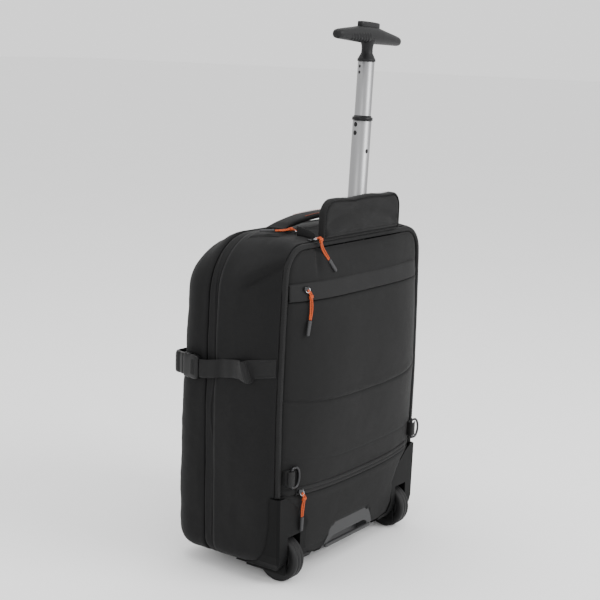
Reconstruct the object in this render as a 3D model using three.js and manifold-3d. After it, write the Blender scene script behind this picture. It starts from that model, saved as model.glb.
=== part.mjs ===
// A wheeled cabin backpack with a single-pole trolley, standing upright on its two wheels and two front feet.
// Millimetres, +Z up. The bag is drawn with its back seam in the plane y = 0, its front towards +Y, the ground
// at z = 0 and x = 0 on its centre line. At the end the group is moved so that its origin is the middle of the
// footprint of its box.
import * as THREE from 'three';
import { mergeVertices } from 'three/addons/utils/BufferGeometryUtils.js';
import Module from 'manifold-3d';

const wasm = await Module();
wasm.setup();

// Body of the bag
const BODY_HALF_WIDTH = 170;
const BODY_TOP = 460;
const BODY_BOTTOM = 18;
const TOP_CORNER = 38;
const BOTTOM_CORNER = 26;
const REAR_LIFT = 10;
const TOP_CROWN = 6;
const MAIN_DEPTH = 104;
const FLAP_WIDTH = 15;
const FLAP_PROUD = 1.6;
const ZIP_WIDTH = 3;
const ZIP_SUNK = 1.2;
const FRONT_DEPTH = 64;
const FRONT_SLOPE = 14;
const FRONT_CORNER = 36;
const CLOTH = 2;
const CLEAR = 0.3;

// Back panel and its seam
const PANEL_BULGE = 29;
const PANEL_WALL = 4;
const SEAM_PROUD = 2;
const PIPING_WIDTH = 7;
const PIPING_DEPTH = 5.6;
const WELT_PROUD = 1.4;
const WELT_SUNK = 0.7;
const UPPER_ZIP_HEIGHT = 23;
const LOWER_ZIP_HEIGHT = 11;

// Wheels and their housings
const WHEEL_RADIUS = 32;
const WHEEL_WIDTH = 22;
const WHEEL_INSET = 33;
const WHEEL_DEPTH = 13;
const HUB_RADIUS = 20;
const AXLE_RADIUS = 4;
const WELL_GAP = 10;
const WELL_SIDE_GAP = 3.4;
const HOUSING_WALL = 3;
const HOUSING_PROUD = 3.4;
const HOUSING_BACK = 8;
const HOUSING_WIDTH = 86;
const HOUSING_TOP = 125;
const HOUSING_REACH = 76;

// Grab handle moulded into the rear bottom edge
const GRAB_HALF_WIDTH = 62;
const GRAB_TOP = 58;
const GRAB_DEPTH = 22;
const GRAB_RECESS = 12;

// Front feet
const FOOT_RADIUS = 13;
const FOOT_SPREAD = 60;
const FOOT_DEPTH = 150;

// Trolley pole
const POLE_DEPTH = 17;
const POLE_OFFSET = 5.5;
const POLE_PIVOT = 170;
const POLE_LEAN = THREE.MathUtils.degToRad(2.9);
const TUBE_WALL = 1.2;
const LOWER_TUBE_RADIUS = 13;
const UPPER_TUBE_RADIUS = 11.4;
const SLEEVE_WALL = 1.2;
const SLIDE_CLEARANCE = 0.35;
const SLEEVE_BOTTOM = 90;
const SLEEVE_TOP = 466;
const LOWER_TUBE_BOTTOM = 240;
const COLLAR_BOTTOM = 614;
const COLLAR_HEIGHT = 7;
const UPPER_TUBE_BOTTOM = 428;
const NECK_BOTTOM = 694;
const NECK_HEIGHT = 26;
const NECK_RADIUS = 8;
const GRIP_LENGTH = 157;
const GRIP_HEIGHT = 23;
const GRIP_DEPTH = 24;
const BUTTON_LENGTH = 46;
const BUTTON_WIDTH = 11;
const BUTTON_PROUD = 6;
const BUTTON_TRAVEL = 4;

// Trolley hood on the top edge
const HOOD_WIDTH = 190;
const HOOD_OFFSET = 3;
const HOOD_HEIGHT = 54;
const HOOD_CORNER = 22;
const HOOD_BACK = 7.5;
const HOOD_DEPTH = 9;

// Straps and their hardware
const WEBBING = 25;
const WEBBING_THICK = 1.8;
const STRAP_HEIGHT = 284;
const STRAP_RISE = 18;
const STRAP_END = 132;
const BUCKLE_TURN = THREE.MathUtils.degToRad(30);
const BUCKLE_LENGTH = 50;
const BUCKLE_WIDTH = 34;
const BUCKLE_THICK = 9;
const TAB_LENGTH = 42;

// Carry handle on the top
const HANDLE_HALF_LENGTH = 104;
const HANDLE_WIDTH = 30;
const HANDLE_THICK = 9;
const HANDLE_RISE = 10;
const HANDLE_DEPTH = 64;
const PATCH_LENGTH = 58;
const PATCH_WIDTH = 48;
const PATCH_THICK = 2.4;

// D-rings
const RING_HEIGHT = 31;
const RING_REACH = 19;
const RING_WIRE = 1.75;
const RING_HEIGHT_UP = 152;
const RING_INSET = 17;
const RING_SLACK = 0.35;
const LOOP_WALL = 1.8;

// Zip pulls
const CORD_DIAMETER = 2.4;
const PULL_WIDTH = 6;
const PULL_LENGTH = 20;
const SLIDER_LENGTH = 11;
const SLIDER_WIDTH = 8;
const SLIDER_THICK = 3;
const SLIDER_LIFT = 0.7;

// Facet counts
const ROUND = 20;
const TUBE_ROUND = 16;
const CORNER_STEPS = 4;
const SIDE_STEPS = 6;
const EDGE_STEPS = 5;

const HEIGHT = BODY_TOP - BODY_BOTTOM;
const FLAP_Y = MAIN_DEPTH + CLEAR;
const ZIP_Y = FLAP_Y + FLAP_WIDTH + CLEAR;
const FRONT_Y = ZIP_Y + ZIP_WIDTH + CLEAR;
const WHEEL_X = BODY_HALF_WIDTH - WHEEL_INSET;
const SEAM_Y = 2.3;

// Sections of the body from the back seam to the zip: depth is a share of the main depth, lift of the rear
// lift, crown of the top crown.
const MAIN_SECTIONS = [
  { depth: 0, lift: 1, crown: 0 },
  { depth: 0.07, lift: 0.45, crown: 0.35 },
  { depth: 0.18, lift: 0.1, crown: 0.75 },
  { depth: 0.38, lift: 0, crown: 1 },
  { depth: 0.6, lift: 0, crown: 0.9 },
  { depth: 0.82, lift: 0, crown: 0.45 },
  { depth: 1, lift: 0, crown: 0 },
];

// Half width of the body by height: both are shares, of the body height and of its half width.
const WIDTHS = [
  { height: 0, width: 0.988 },
  { height: 0.25, width: 1.004 },
  { height: 0.5, width: 1.016 },
  { height: 0.75, width: 1 },
  { height: 1, width: 0.972 },
];

// How far the padded back panel stands out, by height, as shares of the body height and of the panel bulge.
const BULGES = [
  { height: 0.02, bulge: 0.03 },
  { height: 0.12, bulge: 0.24 },
  { height: 0.23, bulge: 0.42 },
  { height: 0.36, bulge: 0.66 },
  { height: 0.52, bulge: 0.95 },
  { height: 0.68, bulge: 1 },
  { height: 0.8, bulge: 0.82 },
  { height: 0.9, bulge: 0.44 },
  { height: 0.97, bulge: 0.2 },
  { height: 1, bulge: 0.12 },
];

// Dents and creases of the cloth sides: depth and height are the middle of each, as shares of the main depth
// and the body height, turn is its slope in degrees, long and wide are half sizes as shares of the body
// height, and deep is a share of the corner radius of the top.
const DENTS = [
  { side: -1, depth: 0.75, height: 0.6, turn: 0, long: 0.14, wide: 0.045, deep: 0.09 },
  { side: 1, depth: 0.75, height: 0.6, turn: 0, long: 0.14, wide: 0.045, deep: 0.09 },
  { side: -1, depth: 0.3, height: 0.92, turn: -32, long: 0.08, wide: 0.02, deep: 0.08 },
];

// Front of the wheel housing seen from behind: inward from its outer side and up, as shares of its width and
// of its height over the body bottom.
const HOUSING_EDGE = [
  { inward: 1, up: -0.2 },
  { inward: 1, up: 0.1 },
  { inward: 0.8, up: 0.13 },
  { inward: 0.72, up: 0.28 },
  { inward: 0.73, up: 0.57 },
  { inward: 0.65, up: 0.7 },
  { inward: 0.42, up: 0.86 },
  { inward: 0.29, up: 0.94 },
  { inward: 0.16, up: 1 },
  { inward: -0.2, up: 1 },
  { inward: -0.2, up: -0.2 },
];

// Seam of the wheel housing on the side of the bag: forward and up, as shares of its reach and of its height
// over the body bottom.
const HOUSING_SEAM = [
  { forward: 1, up: 0 },
  { forward: 0.72, up: 0.03 },
  { forward: 0.4, up: 0.12 },
  { forward: 0.25, up: 0.23 },
  { forward: 0.16, up: 0.38 },
  { forward: 0.11, up: 0.6 },
  { forward: 0.1, up: 1.02 },
];

// Outline of the grab handle and of its finger recess seen from behind: across and up, as shares of its half
// width and of its height over the body bottom.
const GRAB_EDGE = [
  { across: -1, up: -0.2 },
  { across: -1, up: 0.3 },
  { across: -0.89, up: 0.6 },
  { across: -0.79, up: 0.9 },
  { across: -0.61, up: 1 },
  { across: 0.61, up: 1 },
  { across: 0.79, up: 0.9 },
  { across: 0.89, up: 0.6 },
  { across: 1, up: 0.3 },
  { across: 1, up: -0.2 },
];
const RECESS_EDGE = [
  { across: -0.84, up: -0.3 },
  { across: -0.84, up: 0.34 },
  { across: -0.64, up: 0.54 },
  { across: 0.6, up: 0.54 },
  { across: 0.77, up: 0.42 },
  { across: 0.77, up: -0.3 },
];

// Bar of the T grip along its length: at is a share of half the length, tall and deep are shares of its
// height and depth, and drop of the height.
const GRIP_SECTIONS = [
  { at: -1, tall: 0.3, deep: 0.34, drop: 0.16 },
  { at: -0.97, tall: 0.5, deep: 0.58, drop: 0.16 },
  { at: -0.88, tall: 0.6, deep: 0.72, drop: 0.14 },
  { at: -0.5, tall: 0.82, deep: 0.9, drop: 0.06 },
  { at: -0.2, tall: 1, deep: 1, drop: 0 },
  { at: 0.2, tall: 1, deep: 1, drop: 0 },
  { at: 0.5, tall: 0.82, deep: 0.9, drop: 0.06 },
  { at: 0.88, tall: 0.6, deep: 0.72, drop: 0.14 },
  { at: 0.97, tall: 0.5, deep: 0.58, drop: 0.16 },
  { at: 1, tall: 0.3, deep: 0.34, drop: 0.16 },
];

const FINISH = {
  panelCloth: { color: 0x3a3a3b, roughness: 0.75, metalness: 0 },
  sideCloth: { color: 0x2b2b2c, roughness: 0.8, metalness: 0 },
  webbing: { color: 0x242425, roughness: 0.85, metalness: 0 },
  plastic: { color: 0x303133, roughness: 0.5, metalness: 0 },
  rubber: { color: 0x2a2a2b, roughness: 0.9, metalness: 0 },
  pole: { color: 0x9b9c9e, roughness: 0.35, metalness: 1 },
  steel: { color: 0xb9babc, roughness: 0.25, metalness: 1 },
  darkSteel: { color: 0x35363a, roughness: 0.4, metalness: 1 },
  cord: { color: 0xcd5f28, roughness: 0.8, metalness: 0 },
};

const backpack = new THREE.Group();

// Numbers and tables

function mix(a, b, t) {
  return a + (b - a) * t;
}

function lookUp(rows, key, column, at) {
  const after = rows.findIndex((row) => row[key] >= at);
  if (after === 0) return rows[0][column];
  if (after < 0) return rows[rows.length - 1][column];
  const low = rows[after - 1];
  const high = rows[after];
  return mix(low[column], high[column], (at - low[key]) / (high[key] - low[key]));
}

// Bodies

function faceOut(geometry) {
  const at = geometry.getAttribute('position');
  const index = geometry.getIndex();
  const corner = [0, 1, 2].map(() => new THREE.Vector3());
  let volume = 0;
  for (let i = 0; i < index.count; i += 3) {
    corner.forEach((v, k) => v.fromBufferAttribute(at, index.getX(i + k)));
    volume += corner[0].dot(corner[1].clone().cross(corner[2]));
  }
  if (volume < 0) geometry.setIndex([...index.array].reverse());
  return geometry;
}

// One closed body through rings of equal length, either joined last to first or closed by a fan at each end.
function loft(rings, loop = false) {
  const size = rings[0].length;
  const points = rings.flat();
  const faces = [];
  const bands = loop ? rings.length : rings.length - 1;
  for (let i = 0; i < bands; i += 1) {
    const here = i * size;
    const next = ((i + 1) % rings.length) * size;
    for (let j = 0; j < size; j += 1) {
      const k = (j + 1) % size;
      faces.push(here + j, here + k, next + j, here + k, next + k, next + j);
    }
  }
  if (!loop) {
    [0, rings.length - 1].forEach((i) => {
      const middle = new THREE.Vector3();
      rings[i].forEach((p) => middle.addScaledVector(p, 1 / size));
      const centre = points.push(middle) - 1;
      for (let j = 0; j < size; j += 1) {
        const a = i * size + j;
        const b = i * size + ((j + 1) % size);
        faces.push(...(i === 0 ? [centre, b, a] : [centre, a, b]));
      }
    });
  }
  const geometry = new THREE.BufferGeometry().setFromPoints(points);
  geometry.setIndex(faces);
  return faceOut(geometry);
}

// An outline of [u, v] pairs pushed along the third axis: 'xz' along Y, 'yz' along X, 'xy' along Z.
const AXES = {
  xz: [[1, 0, 0], [0, 0, 1], [0, 1, 0]],
  yz: [[0, 1, 0], [0, 0, 1], [1, 0, 0]],
  xy: [[1, 0, 0], [0, 1, 0], [0, 0, 1]],
};

function prism(outline, plane, from, to) {
  const shape = new THREE.Shape(outline.map(([u, v]) => new THREE.Vector2(u, v)));
  const geometry = new THREE.ExtrudeGeometry(shape, { depth: to - from, bevelEnabled: false });
  geometry.translate(0, 0, from);
  const [u, v, w] = AXES[plane].map((axis) => new THREE.Vector3(...axis));
  geometry.applyMatrix4(new THREE.Matrix4().makeBasis(u, v, w));
  return faceOut(plain(geometry));
}

function plain(geometry) {
  const bare = geometry.clone();
  bare.deleteAttribute('normal');
  bare.deleteAttribute('uv');
  return mergeVertices(bare, 1e-3);
}

function roundPlate(length, width, thick, corner, bevel, turns = 1) {
  const shape = new THREE.Shape();
  const u = length / 2 - bevel;
  const v = width / 2 - bevel;
  const r = Math.min(corner, u, v);
  shape.moveTo(-u + r, -v);
  shape.lineTo(u - r, -v);
  shape.absarc(u - r, -v + r, r, -Math.PI / 2, 0);
  shape.absarc(u - r, v - r, r, 0, Math.PI / 2);
  shape.absarc(-u + r, v - r, r, Math.PI / 2, Math.PI);
  shape.absarc(-u + r, -v + r, r, Math.PI, 1.5 * Math.PI);
  const geometry = new THREE.ExtrudeGeometry(shape, {
    depth: thick - 2 * bevel,
    bevelThickness: bevel,
    bevelSize: bevel,
    bevelSegments: 1,
    curveSegments: turns,
  });
  geometry.translate(0, 0, bevel - thick / 2);
  return faceOut(plain(geometry));
}

// A turned body from [radius, height] pairs, its axis along Z.
function turned(profile, sides = ROUND, phase = 0) {
  const geometry = new THREE.LatheGeometry(
    profile.map(([r, h]) => new THREE.Vector2(r, h)),
    sides,
    phase,
  );
  geometry.rotateX(Math.PI / 2);
  return faceOut(plain(geometry));
}

function toSolid(geometry) {
  const bare = mergeVertices(geometry, 1e-3);
  return new wasm.Manifold(
    new wasm.Mesh({
      numProp: 3,
      vertProperties: new Float32Array(bare.getAttribute('position').array),
      triVerts: new Uint32Array(bare.getIndex().array),
    }),
  );
}

function toGeometry(solid) {
  const mesh = solid.getMesh();
  const geometry = new THREE.BufferGeometry();
  geometry.setAttribute('position', new THREE.BufferAttribute(mesh.vertProperties, 3));
  geometry.setIndex(new THREE.BufferAttribute(mesh.triVerts, 1));
  return geometry;
}

function cut(body, ...tools) {
  return toGeometry(tools.reduce((left, tool) => left.subtract(toSolid(tool)), toSolid(body)));
}

function join(...bodies) {
  return toGeometry(bodies.map(toSolid).reduce((all, body) => all.add(body)));
}

function common(...bodies) {
  return toGeometry(bodies.map(toSolid).reduce((all, body) => all.intersect(body)));
}

function mirrored(geometry) {
  return faceOut(geometry.clone().scale(-1, 1, 1));
}

function add(name, geometry, finish, parent = backpack) {
  const mesh = new THREE.Mesh(geometry, new THREE.MeshStandardMaterial(FINISH[finish]));
  mesh.name = name;
  parent.add(mesh);
  return mesh;
}

// Shape of the bag

const even = (inset) => ({ side: inset, top: inset, bottom: inset });

// Outline of the body seen from behind, anticlockwise from the middle of its lower edge. Each edge keeps its
// own inset, so that walls and seams follow the same line.
function outline({ lift, crown }, { side = 0, top = 0, bottom = 0 }) {
  const x = BODY_HALF_WIDTH - side;
  const high = BODY_TOP - top;
  const low = BODY_BOTTOM + lift * REAR_LIFT + bottom;
  const round = Math.max(TOP_CORNER - Math.max(side, top), 1);
  const foot = Math.max(BOTTOM_CORNER - Math.max(side, bottom), 1);
  const corners = [
    { x: x - foot, z: low + foot, radius: foot, from: -Math.PI / 2 },
    { x: x - round, z: high - round, radius: round, from: 0 },
    { x: round - x, z: high - round, radius: round, from: Math.PI / 2 },
    { x: foot - x, z: low + foot, radius: foot, from: Math.PI },
  ];
  const steps = [SIDE_STEPS, EDGE_STEPS, SIDE_STEPS, EDGE_STEPS];
  const points = [];
  corners.forEach((corner, c) => {
    for (let i = 0; i <= CORNER_STEPS; i += 1) {
      const angle = corner.from + (i / CORNER_STEPS) * (Math.PI / 2);
      points.push([
        corner.x + corner.radius * Math.cos(angle),
        corner.z + corner.radius * Math.sin(angle),
      ]);
    }
    const after = corners[(c + 1) % 4];
    const turn = corner.from + Math.PI / 2;
    const start = points[points.length - 1];
    const end = [
      after.x + after.radius * Math.cos(turn),
      after.z + after.radius * Math.sin(turn),
    ];
    for (let i = 1; i < steps[c]; i += 1) {
      points.push([mix(start[0], end[0], i / steps[c]), mix(start[1], end[1], i / steps[c])]);
    }
  });
  return points.map(([px, pz]) => {
    const share = (pz - BODY_BOTTOM) / HEIGHT;
    const rise = crown * TOP_CROWN * (1 - (px / BODY_HALF_WIDTH) ** 2) * Math.max(share, 0) ** 4;
    return [px * lookUp(WIDTHS, 'height', 'width', share), pz + rise];
  });
}

function dentAt(x, y, z) {
  let deep = 0;
  DENTS.filter((dent) => dent.side * x > BODY_HALF_WIDTH / 2).forEach((dent) => {
    const dy = y - dent.depth * MAIN_DEPTH;
    const dz = z - BODY_BOTTOM - dent.height * HEIGHT;
    const turn = THREE.MathUtils.degToRad(dent.turn);
    const along = (dy * Math.cos(turn) + dz * Math.sin(turn)) / (dent.long * HEIGHT);
    const across = (dz * Math.cos(turn) - dy * Math.sin(turn)) / (dent.wide * HEIGHT);
    deep += dent.deep * TOP_CORNER * Math.exp(-along * along - across * across);
  });
  return deep;
}

function bagRing(section, y, inset) {
  return outline(section, inset).map(([x, z]) => {
    const dent = dentAt(x, y, z);
    return new THREE.Vector3(x - Math.sign(x) * dent, y, z);
  });
}

function sectionAt(y) {
  const depth = Math.min(Math.max(y / MAIN_DEPTH, 0), 1);
  return {
    lift: lookUp(MAIN_SECTIONS, 'depth', 'lift', depth),
    crown: lookUp(MAIN_SECTIONS, 'depth', 'crown', depth),
  };
}

// Side of the bag at a depth and height, for what lies on it.
function sideX(y, z) {
  const width = BODY_HALF_WIDTH * lookUp(WIDTHS, 'height', 'width', (z - BODY_BOTTOM) / HEIGHT);
  return width - dentAt(width, y, z);
}

// Top of the bag at a place, for what lies on it.
function topZ(x, y) {
  const upper = outline(sectionAt(y), even(0)).filter(([, z]) => z > BODY_TOP - TOP_CORNER);
  const rows = upper.map(([across, z]) => ({ across, z })).sort((a, b) => a.across - b.across);
  return lookUp(rows, 'across', 'z', x);
}

// A band of cloth round the whole bag, open at both ends.
function band(depths, proud, wall) {
  const outer = depths.map((y) => bagRing(sectionAt(y), y, even(-proud)));
  const inner = depths.map((y) => bagRing(sectionAt(y), y, even(wall - proud)));
  return loft([...outer, ...inner.reverse()], true);
}

// Depth of the front face at a height, over the front of the zip.
function frontDepth(z, inset) {
  const share = Math.min(Math.max((z - BODY_BOTTOM) / HEIGHT, 0), 1);
  return FRONT_DEPTH - FRONT_SLOPE * share ** 1.5 - inset;
}

// The front compartment is a bowl: its sides run forward, turn through the front corner and close as a gently
// rounded face.
const FRONT_TURNS = [0, 0.25, 0.5, 0.75, 1];
const FRONT_FACE = [0.7, 0.3];

function frontRings(inset, turns, face) {
  const rings = [bagRing(sectionAt(FRONT_Y), FRONT_Y, even(inset))];
  const radius = FRONT_CORNER - inset;
  turns.forEach((share) => {
    const angle = (share * Math.PI) / 2;
    const pull = inset + radius * (1 - Math.cos(angle));
    rings.push(
      outline(sectionAt(FRONT_Y), even(pull)).map(([x, z]) => {
        const y = FRONT_Y + frontDepth(z, inset) - radius * (1 - Math.sin(angle));
        return new THREE.Vector3(x, y, z);
      }),
    );
  });
  const edge = rings[rings.length - 1];
  const middle = (BODY_TOP + BODY_BOTTOM) / 2;
  face.forEach((share) => {
    rings.push(
      edge.map((p) => {
        const z = mix(middle, p.z, share);
        const crown = (1 - share * share) * CLOTH;
        return new THREE.Vector3(p.x * share, FRONT_Y + frontDepth(z, inset) + crown, z);
      }),
    );
  });
  return rings;
}

// Back panel

const PANEL_INSET = { side: PIPING_WIDTH + CLEAR, top: PIPING_WIDTH + CLEAR, bottom: CLEAR };

function panelY(x, z) {
  const share = (z - BODY_BOTTOM) / HEIGHT;
  const half = (BODY_HALF_WIDTH - PIPING_WIDTH) * lookUp(WIDTHS, 'height', 'width', share);
  const across = Math.min(Math.abs(x) / half, 1);
  return -SEAM_PROUD - PANEL_BULGE * lookUp(BULGES, 'height', 'bulge', share) * (1 - across ** 4);
}

function panelRings(shares, behind) {
  const edge = outline({ lift: 1, crown: 0 }, PANEL_INSET);
  const middle = (BODY_TOP + BODY_BOTTOM) / 2;
  return shares.map((share) =>
    edge.map(([x, z]) => {
      const px = x * share;
      const pz = mix(middle, z, share);
      return new THREE.Vector3(px, panelY(px, pz) + behind, pz);
    }),
  );
}

// A strip that lies on the back panel between two x values, with its lower and upper edge given by functions.
function panelStrip({ left, right, low, high, proud, sunk, grow = 0 }, steps = 10, rows = 3) {
  const rings = [];
  for (let i = 0; i <= steps; i += 1) {
    const x = mix(left - grow, right + grow, i / steps);
    const z0 = low(x) - grow;
    const z1 = high(x) + grow;
    const ring = [];
    for (let j = 0; j <= rows; j += 1) {
      const z = mix(z0, z1, j / rows);
      ring.push(new THREE.Vector3(x, panelY(x, z) - proud, z));
    }
    for (let j = rows; j >= 0; j -= 1) {
      const z = mix(z0, z1, j / rows);
      ring.push(new THREE.Vector3(x, panelY(x, z) + sunk + grow, z));
    }
    rings.push(ring);
  }
  return loft(rings);
}

const UPPER_WELT = {
  left: -0.925 * BODY_HALF_WIDTH,
  right: 0.9 * BODY_HALF_WIDTH,
  low: () => BODY_BOTTOM + 0.837 * HEIGHT,
  high: () => BODY_BOTTOM + 0.837 * HEIGHT + UPPER_ZIP_HEIGHT,
  proud: WELT_PROUD,
  sunk: WELT_SUNK,
};

function lowerZipLine(x) {
  return BODY_BOTTOM + HEIGHT * (0.228 + 0.016 * (x / BODY_HALF_WIDTH) ** 2);
}

const LOWER_WELT = {
  left: -0.84 * BODY_HALF_WIDTH,
  right: 0.84 * BODY_HALF_WIDTH,
  low: lowerZipLine,
  high: (x) => lowerZipLine(x) + LOWER_ZIP_HEIGHT,
  proud: WELT_PROUD,
  sunk: WELT_SUNK,
};

function grown(strip) {
  return panelStrip({ ...strip, proud: PANEL_BULGE, grow: CLEAR });
}

// Wheel housing, drawn for the right side

function housingFloor(inset) {
  return BODY_BOTTOM - HOUSING_PROUD + inset;
}

// Rear and lower edge of the housing and the grab handle seen from the side, rounded as a quarter ellipse.
function rearCurve(back, inset) {
  const middle = { y: 20, z: BODY_BOTTOM + REAR_LIFT * 2.4 };
  const across = middle.y + back - inset;
  const down = middle.z - housingFloor(inset);
  const points = [];
  for (let i = 0; i <= CORNER_STEPS; i += 1) {
    const angle = Math.PI + (i / CORNER_STEPS) * (Math.PI / 2);
    points.push([middle.y + across * Math.cos(angle), middle.z + down * Math.sin(angle)]);
  }
  return points;
}

function housingBlock(proud, back) {
  const depths = [
    { y: -back, draw: Math.min(proud, 3) },
    { y: -back / 2, draw: 0 },
    { y: HOUSING_REACH * 1.3, draw: 0 },
  ];
  return loft(
    depths.map(({ y, draw }) =>
      outline({ lift: 0, crown: 0 }, even(draw - proud)).map(([x, z]) => new THREE.Vector3(x, y, z)),
    ),
  );
}

const HOUSING_HEIGHT = HOUSING_TOP - BODY_BOTTOM;
const HOUSING_OUTER = BODY_HALF_WIDTH + HOUSING_PROUD;

function housingRegion(grow) {
  const back = HOUSING_EDGE.map(({ inward, up }) => [
    HOUSING_OUTER - inward * HOUSING_WIDTH - grow,
    BODY_BOTTOM + up * HOUSING_HEIGHT + grow,
  ]);
  const side = [
    [-HOUSING_BACK - grow, HOUSING_TOP * 1.2],
    ...rearCurve(HOUSING_BACK + grow, -grow),
    [HOUSING_REACH + grow, housingFloor(-grow)],
    ...HOUSING_SEAM.map(({ forward, up }) => [
      forward * HOUSING_REACH + grow,
      BODY_BOTTOM + up * HOUSING_HEIGHT + grow,
    ]),
  ];
  return common(
    prism(back, 'xz', -HOUSING_REACH, HOUSING_REACH * 1.2),
    prism(side, 'yz', 0, HOUSING_OUTER * 1.2),
    housingBlock(HOUSING_PROUD + grow, HOUSING_BACK + grow),
  );
}

function housingHollow() {
  const side = [
    [HOUSING_WALL - HOUSING_BACK, HOUSING_TOP * 1.3],
    ...rearCurve(HOUSING_BACK, HOUSING_WALL),
    [HOUSING_REACH * 1.3, housingFloor(HOUSING_WALL)],
    [HOUSING_REACH * 1.3, HOUSING_TOP * 1.3],
  ];
  return common(
    prism(side, 'yz', 0, HOUSING_OUTER * 1.2),
    housingBlock(CLEAR, HOUSING_BACK - HOUSING_WALL),
  );
}

// Wheel well: an arch over the wheel, open behind and below.
function well(grow, low, back) {
  const radius = WHEEL_RADIUS + WELL_GAP + grow;
  const arch = [];
  const steps = ROUND / 2 - 2;
  for (let i = 0; i <= steps; i += 1) {
    const angle = (i / steps) * Math.PI;
    arch.push([
      Math.max(WHEEL_DEPTH + radius * Math.cos(angle), -back),
      WHEEL_RADIUS + radius * Math.sin(angle),
    ]);
  }
  const half = WHEEL_WIDTH / 2 + WELL_SIDE_GAP + grow;
  return prism([...arch, [-back, low], [WHEEL_DEPTH + radius, low]], 'yz', WHEEL_X - half, WHEEL_X + half);
}

function axleHole(radius) {
  const half = WHEEL_WIDTH / 2 + WELL_SIDE_GAP + HOUSING_WALL * 2;
  const hole = turned([[0, -half], [radius, -half], [radius, half], [0, half]], ROUND / 2);
  hole.rotateY(Math.PI / 2);
  hole.translate(WHEEL_X, WHEEL_DEPTH, WHEEL_RADIUS);
  return hole;
}

function housing() {
  const skin = cut(housingRegion(0), housingHollow());
  const shell = well(HOUSING_WALL, housingFloor(0), HOUSING_BACK - HOUSING_WALL / 2);
  return cut(
    join(skin, shell),
    well(0, -WHEEL_RADIUS, WHEEL_RADIUS * 2),
    axleHole(AXLE_RADIUS + CLEAR),
  );
}

// Grab handle

function grabOutline(edge, grow) {
  const height = GRAB_TOP - BODY_BOTTOM;
  return edge.map(({ across, up }) => [
    across * GRAB_HALF_WIDTH + Math.sign(across) * grow,
    BODY_BOTTOM + up * height + grow,
  ]);
}

function grabRegion(grow) {
  const side = [
    [-HOUSING_BACK - grow, GRAB_TOP * 2],
    ...rearCurve(HOUSING_BACK + grow, -grow),
    [GRAB_DEPTH + grow, housingFloor(-grow)],
    [GRAB_DEPTH + grow, GRAB_TOP * 2],
  ];
  return common(
    prism(grabOutline(GRAB_EDGE, grow), 'xz', -GRAB_DEPTH * 2, GRAB_DEPTH * 2),
    prism(side, 'yz', -GRAB_HALF_WIDTH * 1.5, GRAB_HALF_WIDTH * 1.5),
  );
}

// Body shells, with the openings that the housings, grab handle and pole need

function poleHole(radius, from, to) {
  const height = (z) => (z - POLE_PIVOT) / Math.cos(POLE_LEAN);
  const hole = turned([[0, height(from)], [radius, height(from)], [radius, height(to)], [0, height(to)]]);
  hole.rotateY(POLE_LEAN);
  hole.translate(POLE_OFFSET, POLE_DEPTH, POLE_PIVOT);
  return hole;
}

const wellCut = well(HOUSING_WALL + CLEAR, -WHEEL_RADIUS, WHEEL_RADIUS * 2);
const regionCut = housingRegion(CLEAR);
const SLEEVE_BORE = LOWER_TUBE_RADIUS + SLIDE_CLEARANCE;
const SLEEVE_RADIUS = SLEEVE_BORE + SLEEVE_WALL;

const gussetDepths = MAIN_SECTIONS.map(({ depth }) => mix(SEAM_Y, MAIN_DEPTH, depth));
add(
  'main_gusset',
  cut(
    band(gussetDepths, 0, CLOTH),
    wellCut,
    mirrored(wellCut),
    grabRegion(CLEAR),
    poleHole(SLEEVE_RADIUS + CLEAR, SLEEVE_TOP - TOP_CORNER, SLEEVE_TOP + TOP_CORNER),
  ),
  'sideCloth',
);

const behind = [1, 0.95, 0.86, 0.7, 0.4];
add(
  'back_panel',
  cut(
    loft([...panelRings(behind, 0).reverse(), ...panelRings([1, 0.8, 0.4], PANEL_WALL)]),
    regionCut,
    mirrored(regionCut),
    grabRegion(CLEAR),
    grown(UPPER_WELT),
    grown(LOWER_WELT),
  ),
  'panelCloth',
);

add('upper_zip_welt', panelStrip(UPPER_WELT), 'panelCloth');
add('lower_zip_welt', panelStrip(LOWER_WELT), 'panelCloth');

// The flat welt that joins the back panel to the sides, from one housing up and over to the other
function piping() {
  const line = outline({ lift: 1, crown: 0 }, even(PIPING_WIDTH / 2));
  const open = line.filter(([, z]) => z > HOUSING_TOP + CLEAR);
  const ends = [open[0], open[open.length - 1]].map(([x]) => [x, HOUSING_TOP + CLEAR * 2]);
  const path = [ends[0], ...open, ends[1]];
  const half = PIPING_WIDTH / 2;
  const deep = PIPING_DEPTH / 2;
  const centre = SEAM_Y - CLEAR - deep;
  const section = [[-1, -0.4], [-0.5, -1], [0.5, -1], [1, -0.4], [1, 1], [-1, 1]];
  return loft(
    path.map(([x, z], i) => {
      const before = path[Math.max(i - 1, 0)];
      const after = path[Math.min(i + 1, path.length - 1)];
      const along = new THREE.Vector2(after[0] - before[0], after[1] - before[1]).normalize();
      const level = i === 0 || i === path.length - 1 ? 0 : 1;
      return section.map(([across, back]) => new THREE.Vector3(
        x + along.y * half * across,
        centre + deep * back,
        z - along.x * half * across * level,
      ));
    }),
  );
}
add('back_piping', piping(), 'panelCloth');

add('zip_flap', band([FLAP_Y, FLAP_Y + FLAP_WIDTH], FLAP_PROUD, CLOTH + FLAP_PROUD), 'sideCloth');
add('main_zip', band([ZIP_Y, ZIP_Y + ZIP_WIDTH], -ZIP_SUNK, CLOTH - ZIP_SUNK / 2), 'webbing');

add(
  'front_compartment',
  loft([
    ...frontRings(CLOTH, [0.4, 1], [0.5]).reverse(),
    ...frontRings(0, FRONT_TURNS, FRONT_FACE),
  ]),
  'sideCloth',
);

// Wheels, axles and housings

function wheelPart(geometry, side) {
  geometry.rotateY(Math.PI / 2);
  geometry.translate(side * WHEEL_X, WHEEL_DEPTH, WHEEL_RADIUS);
  return geometry;
}

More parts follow.
